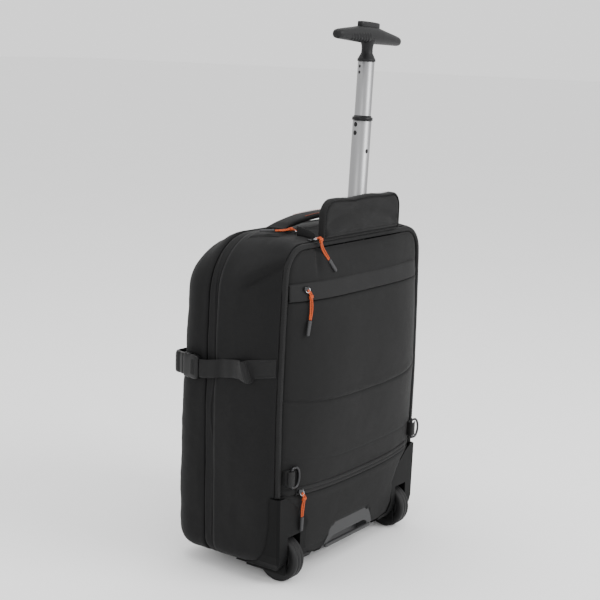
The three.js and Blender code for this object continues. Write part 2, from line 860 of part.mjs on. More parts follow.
const flat = 1 / Math.cos(Math.PI / ROUND);
const tyreHalf = WHEEL_WIDTH / 2;
const TYRE = [
  [HUB_RADIUS + CLEAR, -tyreHalf * 0.8],
  [WHEEL_RADIUS * 0.9 * flat, -tyreHalf],
  [WHEEL_RADIUS * flat, -tyreHalf * 0.6],
  [WHEEL_RADIUS * flat, tyreHalf * 0.6],
  [WHEEL_RADIUS * 0.9 * flat, tyreHalf],
  [HUB_RADIUS + CLEAR, tyreHalf * 0.8],
  [HUB_RADIUS + CLEAR, -tyreHalf * 0.8],
];
const HUB = [
  [AXLE_RADIUS + CLEAR, -tyreHalf - CLEAR],
  [HUB_RADIUS * 0.4, -tyreHalf - CLEAR],
  [HUB_RADIUS * 0.55, -tyreHalf * 0.55],
  [HUB_RADIUS * 0.82, -tyreHalf * 0.55],
  [HUB_RADIUS * 0.9, -tyreHalf * 0.8],
  [HUB_RADIUS, -tyreHalf * 0.8],
  [HUB_RADIUS, tyreHalf * 0.8],
  [HUB_RADIUS * 0.9, tyreHalf * 0.8],
  [HUB_RADIUS * 0.82, tyreHalf * 0.55],
  [HUB_RADIUS * 0.55, tyreHalf * 0.55],
  [HUB_RADIUS * 0.4, tyreHalf + CLEAR],
  [AXLE_RADIUS + CLEAR, tyreHalf + CLEAR],
  [AXLE_RADIUS + CLEAR, -tyreHalf - CLEAR],
];
const axleHalf = tyreHalf + WELL_SIDE_GAP + HOUSING_WALL;

const rightHousing = housing();
const SIDES = [
  { name: 'left', side: -1 },
  { name: 'right', side: 1 },
];
SIDES.forEach(({ name, side }) => {
  add(`wheel_housing_${name}`, side > 0 ? rightHousing : mirrored(rightHousing), 'plastic');
  add(`tyre_${name}`, wheelPart(turned(TYRE, ROUND, Math.PI / ROUND), side), 'rubber');
  add(`hub_${name}`, wheelPart(turned(HUB, ROUND / 2), side), 'plastic');
  add(
    `axle_${name}`,
    wheelPart(
      turned([[0, -axleHalf], [AXLE_RADIUS, -axleHalf], [AXLE_RADIUS, axleHalf], [0, axleHalf]], ROUND / 2),
      side,
    ),
    'steel',
  );
});

add(
  'grab_handle',
  cut(
    grabRegion(0),
    prism(grabOutline(RECESS_EDGE, 0), 'xz', -GRAB_DEPTH * 2, GRAB_RECESS),
  ),
  'plastic',
);

// Front feet
SIDES.forEach(({ name, side }) => {
  const top = BODY_BOTTOM - CLEAR;
  const foot = turned(
    [[0, 0], [FOOT_RADIUS * 0.9, 0], [FOOT_RADIUS, top * 0.25], [FOOT_RADIUS, top], [0, top]],
    ROUND / 2,
  );
  foot.translate(side * FOOT_SPREAD, FOOT_DEPTH, 0);
  add(`front_foot_${name}`, foot, 'rubber');
});

// Trolley: everything on the pole stands in one leaning group

const trolley = new THREE.Group();
trolley.position.set(POLE_OFFSET, POLE_DEPTH, POLE_PIVOT);
trolley.rotation.y = POLE_LEAN;
backpack.add(trolley);

const onPole = (z) => (z - POLE_PIVOT) / Math.cos(POLE_LEAN);

function pipe(outer, inner, from, to) {
  return turned([
    [inner, onPole(from)],
    [outer, onPole(from)],
    [outer, onPole(to)],
    [inner, onPole(to)],
    [inner, onPole(from)],
  ], TUBE_ROUND);
}

add('trolley_sleeve', pipe(SLEEVE_RADIUS, SLEEVE_BORE, SLEEVE_BOTTOM, SLEEVE_TOP), 'plastic', trolley);
add(
  'trolley_bezel',
  pipe(SLEEVE_RADIUS, SLEEVE_BORE, SLEEVE_TOP + CLEAR, SLEEVE_TOP + SLEEVE_WALL * 4),
  'plastic',
  trolley,
);
add(
  'lower_tube',
  pipe(LOWER_TUBE_RADIUS, LOWER_TUBE_RADIUS - TUBE_WALL, LOWER_TUBE_BOTTOM, COLLAR_BOTTOM),
  'pole',
  trolley,
);
add(
  'tube_collar',
  pipe(
    LOWER_TUBE_RADIUS + TUBE_WALL,
    UPPER_TUBE_RADIUS + SLIDE_CLEARANCE,
    COLLAR_BOTTOM + CLEAR,
    COLLAR_BOTTOM + COLLAR_HEIGHT,
  ),
  'plastic',
  trolley,
);
add(
  'upper_tube',
  pipe(UPPER_TUBE_RADIUS, UPPER_TUBE_RADIUS - TUBE_WALL, UPPER_TUBE_BOTTOM, NECK_BOTTOM - CLEAR),
  'pole',
  trolley,
);

const barMiddle = onPole(NECK_BOTTOM + NECK_HEIGHT) + GRIP_HEIGHT / 2 - 2;
const barTop = barMiddle + GRIP_HEIGHT / 2;

function gripBar() {
  return loft(
    GRIP_SECTIONS.map(({ at, tall, deep, drop }) => {
      const ring = [];
      for (let i = 0; i < ROUND / 2; i += 1) {
        const angle = (i / (ROUND / 2)) * 2 * Math.PI;
        ring.push(new THREE.Vector3(
          (at * GRIP_LENGTH) / 2,
          (deep * GRIP_DEPTH * Math.cos(angle)) / 2,
          barMiddle - drop * GRIP_HEIGHT + (tall * GRIP_HEIGHT * Math.sin(angle)) / 2,
        ));
      }
      return ring;
    }),
  );
}

function gripNeck() {
  const low = onPole(NECK_BOTTOM);
  const flare = LOWER_TUBE_RADIUS - TUBE_WALL * 0.5;
  return turned([
    [0, low],
    [flare, low],
    [flare, low + NECK_HEIGHT * 0.12],
    [NECK_RADIUS, low + NECK_HEIGHT * 0.42],
    [NECK_RADIUS, low + NECK_HEIGHT * 0.85],
    [NECK_RADIUS * 1.25, barMiddle - GRIP_HEIGHT * 0.35],
    [NECK_RADIUS * 1.1, barMiddle],
    [0, barMiddle],
  ]);
}

const buttonDeep = BUTTON_TRAVEL + BUTTON_PROUD;
function buttonBody(grow, low, high) {
  const plate = roundPlate(
    BUTTON_LENGTH + grow * 2,
    BUTTON_WIDTH + grow * 2,
    high - low,
    BUTTON_WIDTH / 2,
    grow > 0 ? CLEAR : 1,
    2,
  );
  plate.translate(0, 0, (high + low) / 2);
  return plate;
}

const pocketFloor = barTop - buttonDeep - BUTTON_TRAVEL;
add(
  'grip',
  cut(
    join(gripBar(), gripNeck()),
    buttonBody(CLEAR, pocketFloor, barTop + GRIP_HEIGHT),
  ),
  'plastic',
  trolley,
);
add(
  'grip_button',
  buttonBody(0, pocketFloor + BUTTON_TRAVEL + CLEAR, barTop + BUTTON_PROUD),
  'plastic',
  trolley,
);

// Hood: a shallow tray that stands on the top edge, its open side towards the pole

const hoodBase = BODY_TOP + CLEAR * 2;

function hoodRing(inset, y) {
  const x = HOOD_WIDTH / 2 - inset;
  const low = hoodBase + inset;
  const high = hoodBase + HOOD_HEIGHT - inset;
  const round = Math.max(HOOD_CORNER - inset, 1);
  const steps = 4;
  const points = [];
  const corners = [
    { x: x - 2, z: low + 2, radius: 2, from: -Math.PI / 2 },
    { x: x - round, z: high - round, radius: round, from: 0 },
    { x: round - x, z: high - round, radius: round, from: Math.PI / 2 },
    { x: 2 - x, z: low + 2, radius: 2, from: Math.PI },
  ];
  corners.forEach((corner) => {
    for (let i = 0; i <= steps; i += 1) {
      const angle = corner.from + (i / steps) * (Math.PI / 2);
      points.push(new THREE.Vector3(
        HOOD_OFFSET + corner.x + corner.radius * Math.cos(angle),
        y,
        corner.z + corner.radius * Math.sin(angle),
      ));
    }
  });
  return points;
}

function hoodFace(ring, share, bulge) {
  const middle = hoodBase + HOOD_HEIGHT * 0.45;
  return ring.map((p) => new THREE.Vector3(
    mix(HOOD_OFFSET, p.x, share),
    p.y - bulge,
    mix(middle, p.z, share),
  ));
}

function hood() {
  const rim = HOOD_DEPTH - HOOD_BACK;
  const face = hoodRing(CLOTH, -HOOD_BACK);
  const hollow = hoodRing(CLOTH, CLOTH - HOOD_BACK);
  return loft([
    hoodFace(hollow, 0.5, CLOTH / 2),
    hollow,
    hoodRing(CLOTH, rim),
    hoodRing(0, rim),
    hoodRing(0, CLOTH - HOOD_BACK),
    face,
    hoodFace(face, 0.8, CLOTH / 2),
    hoodFace(face, 0.4, CLOTH),
  ]);
}
add('hood', hood(), 'panelCloth');

// Small cloth tab beside the hood, standing over the end of its zip
const tabLeft = HOOD_OFFSET - HOOD_WIDTH / 2 - CLOTH;
function hoodTab() {
  const foot = (x, y) => topZ(x, y) + CLEAR * 2;
  const line = [
    { x: tabLeft - 3, y: HOOD_BACK * 4, rise: 13 },
    { x: tabLeft - 1, y: HOOD_BACK * 2.4, rise: 10.5 },
    { x: tabLeft, y: HOOD_BACK * 0.9, rise: 7 },
  ];
  return loft(
    line.map(({ x, y, rise }) => [
      new THREE.Vector3(x, y, foot(x, y)),
      new THREE.Vector3(x - CLOTH, y, foot(x, y)),
      new THREE.Vector3(x - CLOTH, y, foot(x, y) + rise),
      new THREE.Vector3(x, y, foot(x, y) + rise),
    ]),
  );
}
add('hood_tab', hoodTab(), 'panelCloth');

// Flat straps: a line of points, the direction of the width and the direction away from the bag at each
function strap(line, width, thick) {
  return loft(
    line.map(({ at, across, out }) =>
      [[-0.5, 0], [0.5, 0], [0.5, 1], [-0.5, 1]].map(([u, v]) =>
        at.clone().addScaledVector(across, u * width).addScaledVector(out, v * thick),
      ),
    ),
  );
}

const UP = new THREE.Vector3(0, 0, 1);

// Compression straps: along is a share of the strap's reach from the back seam, out is the height of each
// point over the side as a share of the webbing width, so that the loose fold stands off the bag.
const STRAP_LINE = [
  { along: 0.04, out: 0 },
  { along: 0.16, out: 0 },
  { along: 0.28, out: 0.02 },
  { along: 0.34, out: 0.16 },
  { along: 0.4, out: 0.3 },
  { along: 0.47, out: 0.24 },
  { along: 0.55, out: 0.06 },
  { along: 0.68, out: 0.03 },
  { along: 0.8, out: 0.1 },
  { along: 0.9, out: 0.18 },
];

const strapLift = CLEAR * 2;
const frontMiddle = FRONT_Y + frontDepth(STRAP_HEIGHT, 0) - FRONT_CORNER;
const cornerX = sideX(MAIN_DEPTH * 2, STRAP_HEIGHT) - FRONT_CORNER;
const buckleOut = new THREE.Vector3(Math.cos(BUCKLE_TURN), Math.sin(BUCKLE_TURN), 0);
const buckleAlong = new THREE.Vector3(-Math.sin(BUCKLE_TURN), Math.cos(BUCKLE_TURN), 0);
const buckleAt = new THREE.Vector3(cornerX, frontMiddle, STRAP_HEIGHT)
  .addScaledVector(buckleOut, FRONT_CORNER + BUCKLE_THICK / 2 + WEBBING_THICK);

function strapHeight(share) {
  return STRAP_HEIGHT + STRAP_RISE * Math.max(1 - share * 1.15, 0);
}

function compressionStrap() {
  const line = STRAP_LINE.map(({ along, out }) => {
    const y = SEAM_Y + along * (STRAP_END - SEAM_Y);
    const z = strapHeight(along);
    const x = sideX(y, z) + strapLift + FLAP_PROUD * Math.min(along * 2, 1) + out * WEBBING;
    return { at: new THREE.Vector3(x, y, z), across: UP, out: new THREE.Vector3(1, 0, 0) };
  });
  const end = buckleAt.clone().addScaledVector(buckleAlong, -BUCKLE_LENGTH / 2 - CLEAR);
  end.addScaledVector(buckleOut, -WEBBING_THICK / 2);
  line.push({ at: end, across: UP, out: buckleOut });
  return strap(line, WEBBING, WEBBING_THICK);
}

function buckleHalf(from, to, width, thick) {
  const length = (to - from) * BUCKLE_LENGTH;
  const plate = roundPlate(length, width, thick, thick * 0.7, 1.2, 2);
  const along = buckleAlong.clone();
  plate.applyMatrix4(new THREE.Matrix4().makeBasis(along, UP, along.clone().cross(UP)));
  const middle = buckleAt.clone().addScaledVector(buckleAlong, ((from + to) / 2 - 0.5) * BUCKLE_LENGTH);
  plate.translate(middle.x, middle.y, middle.z);
  return plate;
}

function frontTab() {
  const start = buckleAt.clone().addScaledVector(buckleAlong, BUCKLE_LENGTH / 2 + CLEAR);
  start.addScaledVector(buckleOut, -WEBBING_THICK / 2);
  const face = FRONT_Y + frontDepth(STRAP_HEIGHT, 0) + CLOTH + strapLift;
  const forward = new THREE.Vector3(0, 1, 0);
  const line = [
    { at: start, across: UP, out: buckleOut },
    {
      at: new THREE.Vector3(start.x - TAB_LENGTH * 0.4, face + CLOTH, STRAP_HEIGHT),
      across: UP,
      out: forward,
    },
    { at: new THREE.Vector3(start.x - TAB_LENGTH, face, STRAP_HEIGHT), across: UP, out: forward },
  ];
  return strap(line, WEBBING, WEBBING_THICK);
}

const straps = { strap: compressionStrap(), tab: frontTab() };
const socket = buckleHalf(0, 0.6, BUCKLE_WIDTH, BUCKLE_THICK);
const plug = buckleHalf(0.6 + CLEAR / BUCKLE_LENGTH, 1, BUCKLE_WIDTH * 0.88, BUCKLE_THICK * 0.8);
SIDES.forEach(({ name, side }) => {
  const place = (geometry) => (side > 0 ? geometry : mirrored(geometry));
  add(`compression_strap_${name}`, place(straps.strap), 'webbing');
  add(`buckle_socket_${name}`, place(socket), 'plastic');
  add(`buckle_plug_${name}`, place(plug), 'plastic');
  add(`front_tab_${name}`, place(straps.tab), 'webbing');
});

// Carry handle and the patches that hold its ends
function carryHandle() {
  const steps = 14;
  const forward = new THREE.Vector3(0, 1, 0);
  const line = [];
  for (let i = 0; i <= steps; i += 1) {
    const share = (i / steps) * 2 - 1;
    const x = share * HANDLE_HALF_LENGTH;
    const arch = HANDLE_RISE * Math.max(1 - Math.abs(share) ** 2.2, 0);
    const slope = new THREE.Vector3(
      (2.2 * HANDLE_RISE * Math.sign(share) * Math.abs(share) ** 1.2) / HANDLE_HALF_LENGTH,
      0,
      1,
    ).normalize();
    line.push({
      at: new THREE.Vector3(x, HANDLE_DEPTH, topZ(x, HANDLE_DEPTH) + PATCH_THICK + CLEAR * 3 + arch),
      across: forward,
      out: slope,
    });
  }
  return strap(line, HANDLE_WIDTH, HANDLE_THICK);
}
add('carry_handle', carryHandle(), 'webbing');

function handlePatch() {
  const steps = 10;
  const forward = new THREE.Vector3(0, 1, 0);
  const line = [];
  for (let i = 0; i <= steps; i += 1) {
    const x = HANDLE_HALF_LENGTH + PATCH_LENGTH * (i / steps - 0.42);
    const lower = topZ(x + 1, HANDLE_DEPTH);
    const out = new THREE.Vector3(topZ(x - 1, HANDLE_DEPTH) - lower, 0, 2).normalize();
    const highest = Math.max(
      topZ(x, HANDLE_DEPTH - PATCH_WIDTH / 2),
      topZ(x, HANDLE_DEPTH + PATCH_WIDTH / 2),
      topZ(x, HANDLE_DEPTH),
    );
    line.push({ at: new THREE.Vector3(x, HANDLE_DEPTH, highest + CLEAR * 2), across: forward, out });
  }
  return strap(line, PATCH_WIDTH, PATCH_THICK - CLEAR);
}
SIDES.forEach(({ name, side }) => {
  const patch = handlePatch();
  add(`handle_patch_${name}`, side > 0 ? patch : mirrored(patch), 'sideCloth');
});

// D-rings: a webbing loop sewn beside the seam holds the straight bar of each ring

const ringX = BODY_HALF_WIDTH - RING_INSET;
const barRadius = RING_WIRE + RING_SLACK;
const loopRadius = barRadius + LOOP_WALL;
const ringY = Math.min(
  panelY(ringX - loopRadius, RING_HEIGHT_UP + RING_HEIGHT / 2),
  panelY(ringX - RING_REACH, RING_HEIGHT_UP) + RING_WIRE * 1.5,
) - loopRadius - CLEAR;

function ringLoop() {
  const height = RING_HEIGHT - RING_WIRE * 6;
  const low = RING_HEIGHT_UP - height / 2;
  const round = [];
  for (let i = 0; i <= CORNER_STEPS; i += 1) {
    const angle = Math.PI * (1 + (i / CORNER_STEPS) / 2);
    round.push([ringX + loopRadius * Math.cos(angle), ringY + loopRadius * Math.sin(angle)]);
  }
  const edge = BODY_HALF_WIDTH - PIPING_WIDTH - CLEAR * 4;
  const seat = (x) => panelY(x, low + height) - CLEAR;
  const outer = [
    [edge, seat(edge)],
    [ringX - loopRadius, seat(ringX - loopRadius)],
    ...round,
    [edge, ringY + loopRadius - LOOP_WALL * 2.4],
  ];
  const bore = turned(
    [[0, low - 1], [barRadius, low - 1], [barRadius, low + height + 1], [0, low + height + 1]],
    ROUND / 2,
  );
  bore.translate(ringX, ringY, 0);
  return cut(prism(outer, 'xy', low, low + height), bore);
}

// A D-ring in the plane of its bar: reach is measured from the bar, inward for the left one.
function ring(turn) {
  const half = RING_HEIGHT / 2 - RING_WIRE;
  const reach = RING_REACH - RING_WIRE * 2;
  const corner = RING_WIRE * 1.6;
  const line = [[0, -half + corner]];
  line.push([0, half - corner], [corner * 0.3, half - corner * 0.3], [corner, half]);
  const steps = 8;
  for (let i = 0; i <= steps; i += 1) {
    const angle = Math.PI / 2 - (i / steps) * Math.PI;
    line.push([
      reach * 0.45 + (reach * 0.55) * Math.cos(angle),
      half * Math.sin(angle),
    ]);
  }
  line.push([corner, -half], [corner * 0.3, -half + corner * 0.3]);
  const sides = 6;
  const rings = line.map(([u, v], i) => {
    const before = line[(i + line.length - 1) % line.length];
    const after = line[(i + 1) % line.length];
    const along = new THREE.Vector2(after[0] - before[0], after[1] - before[1]).normalize();
    const section = [];
    for (let k = 0; k < sides; k += 1) {
      const angle = (k / sides) * 2 * Math.PI;
      const across = RING_WIRE * Math.cos(angle);
      section.push(new THREE.Vector3(
        u + along.y * across,
        RING_WIRE * Math.sin(angle),
        v - along.x * across,
      ));
    }
    return section;
  });
  const geometry = loft(rings, true);
  geometry.rotateZ(turn);
  geometry.translate(ringX, ringY, RING_HEIGHT_UP);
  return geometry;
}

const restSlope = Math.atan2(
  panelY(ringX - RING_REACH, RING_HEIGHT_UP) - CLEAR * 2 - RING_WIRE - ringY,
  -RING_REACH,
);
const RING_OUT = THREE.MathUtils.degToRad(-8);
const loop = ringLoop();
add('dring_loop_left', mirrored(loop), 'webbing');
add('dring_loop_right', loop, 'webbing');
add('dring_left', mirrored(ring(restSlope)), 'darkSteel');
add('dring_right', ring(RING_OUT), 'darkSteel');

// Zip pulls: a slider on the zip, two strands of cord from its eye and a rubber end that holds them. Each
// route is a line of points chosen by hand, from the slider's eye to the rubber end, and the two strands run
// on either side of it. out is the direction away from the cloth.
function onPanel(x, z) {
  const step = SLIDER_WIDTH / 2;
  const slopeX = (panelY(x + step, z) - panelY(x - step, z)) / (2 * step);
  const slopeZ = (panelY(x, z + step) - panelY(x, z - step)) / (2 * step);
  const normal = new THREE.Vector3(slopeX, -1, slopeZ).normalize();
  return { foot: new THREE.Vector3(x, panelY(x, z) - WELT_PROUD, z), normal };
}

function onTop(x, y) {
  return { foot: new THREE.Vector3(x, y, topZ(x, y)), normal: UP };
}

const PULLS = [
  {
    name: 'hood',
    seat: onTop(HOOD_OFFSET - HOOD_WIDTH / 2 - SLIDER_LENGTH, SEAM_Y * 2),
    out: [0, -1, 0.5],
    route: [
      [-102.5, -5.2, 466.2], [-102.3, -9.2, 467.4], [-101.2, -10.6, 463.4], [-98.9, -9.4, 458.6],
      [-95.8, -8.9, 453.4], [-92.1, -9.5, 448], [-88.3, -10.8, 442.6], [-84.4, -12.2, 437.2],
    ],
  },
  {
    name: 'top',
    seat: onTop(HOOD_OFFSET - HOOD_WIDTH / 2 + SLIDER_LENGTH / 2, HANDLE_DEPTH - PATCH_WIDTH / 2 - SLIDER_WIDTH),
    out: [0, 0, 1],
    route: [
      [-90.2, 39.5, 470.3], [-91.6, 42.3, 471.8], [-95.2, 44.4, 472.2], [-99.4, 45, 472],
      [-103.6, 45.6, 471.8], [-107.8, 47.4, 471.5], [-111.4, 50.8, 471.3], [-114.6, 55.2, 471.1],
    ],
  },
  {
    name: 'upper',
    seat: onPanel(-0.79 * BODY_HALF_WIDTH, UPPER_WELT.low() + UPPER_ZIP_HEIGHT * 0.7),
    out: [0, -1, 0],
    route: [
      [-132.6, -15.6, 400.6], [-130.7, -17.1, 397.4], [-129.8, -17.6, 392.6], [-129.1, -17.4, 387.4],
      [-128.7, -17.6, 382], [-129.2, -18, 376.4], [-130.5, -18.4, 370.6], [-132.5, -18.8, 363.4],
    ],
  },
  {
    name: 'lower',
    seat: onPanel(-0.775 * BODY_HALF_WIDTH, lowerZipLine(BODY_HALF_WIDTH * 0.775) + LOWER_ZIP_HEIGHT * 0.6),
    out: [0, -1, 0],
    route: [
      [-129.5, -15, 124.3], [-127.8, -15.9, 121], [-126.8, -15.3, 117], [-125.9, -14, 112.8],
      [-125.3, -12.9, 108.4], [-124.9, -12.1, 103.2], [-124.7, -11.6, 97.4], [-124.5, -11.3, 91],
    ],
  },
];

const vector = (p) => new THREE.Vector3(...p);

function zipSlider({ foot, normal }, start, out) {
  const plate = roundPlate(SLIDER_LENGTH, SLIDER_WIDTH, SLIDER_THICK, SLIDER_WIDTH * 0.35, 0.6);
  plate.applyQuaternion(new THREE.Quaternion().setFromUnitVectors(UP, normal));
  const middle = foot.clone().addScaledVector(normal, SLIDER_THICK / 2 + SLIDER_LIFT);
  plate.translate(middle.x, middle.y, middle.z);
  const reach = vector(start).sub(middle);
  const length = reach.length() - CLEAR * 2;
  const eye = new THREE.BoxGeometry(CORD_DIAMETER * 2, CORD_DIAMETER * 0.75, length);
  eye.translate(0, 0, length / 2);
  const along = reach.normalize();
  const across = along.clone().cross(vector(out)).normalize();
  eye.applyMatrix4(new THREE.Matrix4().makeBasis(across, along.clone().cross(across), along));
  eye.translate(middle.x, middle.y, middle.z);
  return join(plate, plain(eye));
}

function strand(route, out, offset) {
  const points = route.map(vector);
  const curve = new THREE.CatmullRomCurve3(points.map((p, i) => {
    const before = points[Math.max(i - 1, 0)];
    const after = points[Math.min(i + 1, points.length - 1)];
    return p.clone().addScaledVector(after.clone().sub(before).cross(vector(out)).normalize(), offset);
  }));
  const section = new THREE.Shape();
  section.absarc(0, 0, CORD_DIAMETER / 2, 0, 2 * Math.PI);
  const geometry = new THREE.ExtrudeGeometry(section, {
    steps: route.length - 1,
    extrudePath: curve,
    bevelEnabled: false,
    curveSegments: 4,
  });
  return faceOut(plain(geometry));
}

function pullEnd(route, out) {
  const points = route.map(vector);
  const last = points[points.length - 1];
  const along = last.clone().sub(points[points.length - 2]).normalize();
  const across = along.clone().cross(vector(out)).normalize();
  const plate = roundPlate(PULL_LENGTH, PULL_WIDTH, PULL_WIDTH * 0.6, PULL_WIDTH * 0.3, 0.8);
  plate.applyMatrix4(new THREE.Matrix4().makeBasis(along, across, along.clone().cross(across)));
  const middle = last.clone().addScaledVector(along, PULL_LENGTH / 2 + CLEAR * 3);
  plate.translate(middle.x, middle.y, middle.z);
  return plate;
}

PULLS.forEach(({ name, seat, out, route }) => {
  add(`zip_slider_${name}`, zipSlider(seat, route[0], out), 'steel');
  const half = CORD_DIAMETER / 2 + CLEAR / 2;
  add(`pull_cord_${name}_a`, strand(route, out, half), 'cord');
  add(`pull_cord_${name}_b`, strand(route, out, -half), 'cord');
  add(`pull_end_${name}`, pullEnd(route, out), 'rubber');
});

// The origin is the middle of the footprint, measured without the zip pulls.
const measured = new THREE.Box3();
backpack.updateMatrixWorld(true);
backpack.traverse((piece) => {
  if (piece.isMesh && !piece.name.startsWith('pull_')) measured.expandByObject(piece, true);
});
const centre = measured.getCenter(new THREE.Vector3());
backpack.position.set(-centre.x, -centre.y, -measured.min.z);
backpack.updateMatrixWorld(true);

export default backpack;
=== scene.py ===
import math

import bmesh
import bpy
import numpy as np
from mathutils import Matrix, Vector, noise
from mathutils.bvhtree import BVHTree


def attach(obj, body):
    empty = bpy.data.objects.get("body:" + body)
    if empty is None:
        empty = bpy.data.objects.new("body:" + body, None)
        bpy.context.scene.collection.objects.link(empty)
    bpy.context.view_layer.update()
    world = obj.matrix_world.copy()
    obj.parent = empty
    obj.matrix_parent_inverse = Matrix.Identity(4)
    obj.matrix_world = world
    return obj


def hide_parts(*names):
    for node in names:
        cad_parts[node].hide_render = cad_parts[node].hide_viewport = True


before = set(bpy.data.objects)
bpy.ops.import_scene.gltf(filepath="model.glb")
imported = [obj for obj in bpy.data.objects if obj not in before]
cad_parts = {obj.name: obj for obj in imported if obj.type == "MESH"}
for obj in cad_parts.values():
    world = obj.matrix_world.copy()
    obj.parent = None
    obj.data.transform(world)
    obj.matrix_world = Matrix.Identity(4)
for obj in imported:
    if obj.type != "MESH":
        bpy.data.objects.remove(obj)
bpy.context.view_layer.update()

# Shapes are worked out in millimetres with the back seam in the plane y = 0, as in the CAD source.
# SHIFT is how far that plane lies behind the frame's origin.
SHIFT = 78.974
HALF_WIDTH = 170
TOP = 460
BOTTOM = 18
HEIGHT = TOP - BOTTOM
TOP_CORNER = 38
BOTTOM_CORNER = 26
MAIN_DEPTH = 104
FLAP_END = 119.5
FRONT_Y = 122.9
FRONT_CORNER = 36
SEAM_Y = 2.3
PIPING_INSET = 7.3
WHEEL = (137, 13, 32)
LEAN = math.radians(2.9)
POLE = (5.5, 17, 170)
STRAP_Z = 284
STRAP_WIDTH = 25
STRAP_THICK = 1.7
UPRIGHT = (0.0, 0.0, 1.0)
SIDES = ((-1, "left"), (1, "right"))


def metres(points):
    p = np.array(points, dtype=float) / 1000
    p[..., 1] -= SHIFT / 1000
    return p


def mix(a, b, t):
    return a + (b - a) * t


def smooth(t):
    t = np.clip(t, 0, 1)
    return t * t * (3 - 2 * t)


def hill(d, width):
    return np.exp(-((d / width) ** 2))


def unit(v):
    v = np.asarray(v, dtype=float)
    return v / np.linalg.norm(v, axis=-1, keepdims=True)


def turns(count):
    return np.linspace(0, 2 * math.pi, count, endpoint=False)


def rough_field(x, y, z, scale, seed=0.0, octaves=3):
    """Smooth noise from -1 to 1 at each point, one wave to about scale millimetres."""
    shape = np.broadcast(x, y, z).shape
    xs, ys, zs = (np.broadcast_to(v, shape).ravel() / scale for v in (x, y, z))
    out = [
        noise.fractal(Vector((a + seed, b - seed, c)), 0.8, 2.0, octaves)
        for a, b, c in zip(xs, ys, zs)
    ]
    return np.array(out).reshape(shape)


def link(obj):
    bpy.context.scene.collection.objects.link(obj)
    return obj


def camera():
    yaw, pitch, roll = (math.radians(a) for a in (-54.85, 11.039, 1.916))
    level = math.cos(pitch)
    ahead = Vector((-math.sin(yaw) * level, math.cos(yaw) * level, -math.sin(pitch)))
    right = Vector((math.cos(yaw), math.sin(yaw), 0))
    up = right.cross(ahead)
    across = right * math.cos(roll) + up * math.sin(roll)
    above = up * math.cos(roll) - right * math.sin(roll)
    data = bpy.data.cameras.new("camera")
    data.sensor_width = 36
    data.lens = 1320 / 600 * 36
    data.clip_end = 100
    obj = link(bpy.data.objects.new("camera", data))
    matrix = Matrix((across, above, -ahead)).transposed().to_4x4()
    matrix.translation = Vector(metres((-1510.9, -972.1, 716.6)))
    obj.matrix_world = matrix
    bpy.context.scene.camera = obj


camera()

# Materials


class Nodes:
    """A material's node tree, with short ways to add and join nodes."""

    def __init__(self, name):
        self.material = bpy.data.materials.new(name)
        self.material.use_nodes = True
        self.tree = self.material.node_tree
        self.shader = self.tree.nodes["Principled BSDF"]

    def feed(self, socket, value):
        if isinstance(value, bpy.types.NodeSocket):
            self.tree.links.new(value, socket)
        else:
            socket.default_value = value

    def add(self, kind, inputs, output=0, **settings):
        """The output of a new node whose inputs are given by name or number."""
        node = self.tree.nodes.new(kind)
        for key, value in settings.items():
            setattr(node, key, value)
        for key, value in inputs.items():
            self.feed(node.inputs[key], value)
        return node.outputs[output]

    def math(self, operation, a, b=0.0):
        return self.add("ShaderNodeMath", {0: a, 1: b}, operation=operation)

    def coords(self, output="Object"):
        return self.add("ShaderNodeTexCoord", {}, output)

    def stretch(self, vector, scale):
        return self.add("ShaderNodeMapping", {"Vector": vector, "Scale": scale})

    def noise(self, vector, scale, detail=3.0, rough=0.55):
        inputs = {"Vector": vector, "Scale": scale, "Detail": detail, "Roughness": rough}
        return self.add("ShaderNodeTexNoise", inputs, "Fac")

    def ramp(self, factor, low, high):
        return self.add("ShaderNodeMapRange", {"Value": factor, "To Min": low, "To Max": high})

    def shade(self, colour, factor):
        """The colour made darker or lighter by the factor."""
        inputs = {"Factor": 1, "A": (*colour, 1), "B": factor}
        return self.add(
            "ShaderNodeMix", inputs, "Result", data_type="RGBA", blend_type="MULTIPLY"
        )

    def bump(self, height, distance, strength=1.0, **under):
        inputs = {"Distance": distance, "Strength": strength, "Height": height, **under}
        return self.add("ShaderNodeBump", inputs)

    def threads(self, pitch, across=1.0):
        """Phases across and along the cloth of a pattern of that pitch in millimetres."""
        split = self.tree.nodes.new("ShaderNodeSeparateXYZ")
        self.feed(split.inputs[0], self.coords("UV"))
        phase = 2 * math.pi * 1000 / pitch
        return [
            self.math("MULTIPLY", split.outputs[k], phase * share)
            for k, share in enumerate((across, 1))
        ]

    def finish(self, colour, roughness, normal, **fixed):
        named = {"Base Color": colour, "Roughness": roughness, "Normal": normal, **fixed}
        for key, value in named.items():
            self.feed(self.shader.inputs[key.replace("_", " ")], value)
        return self.material


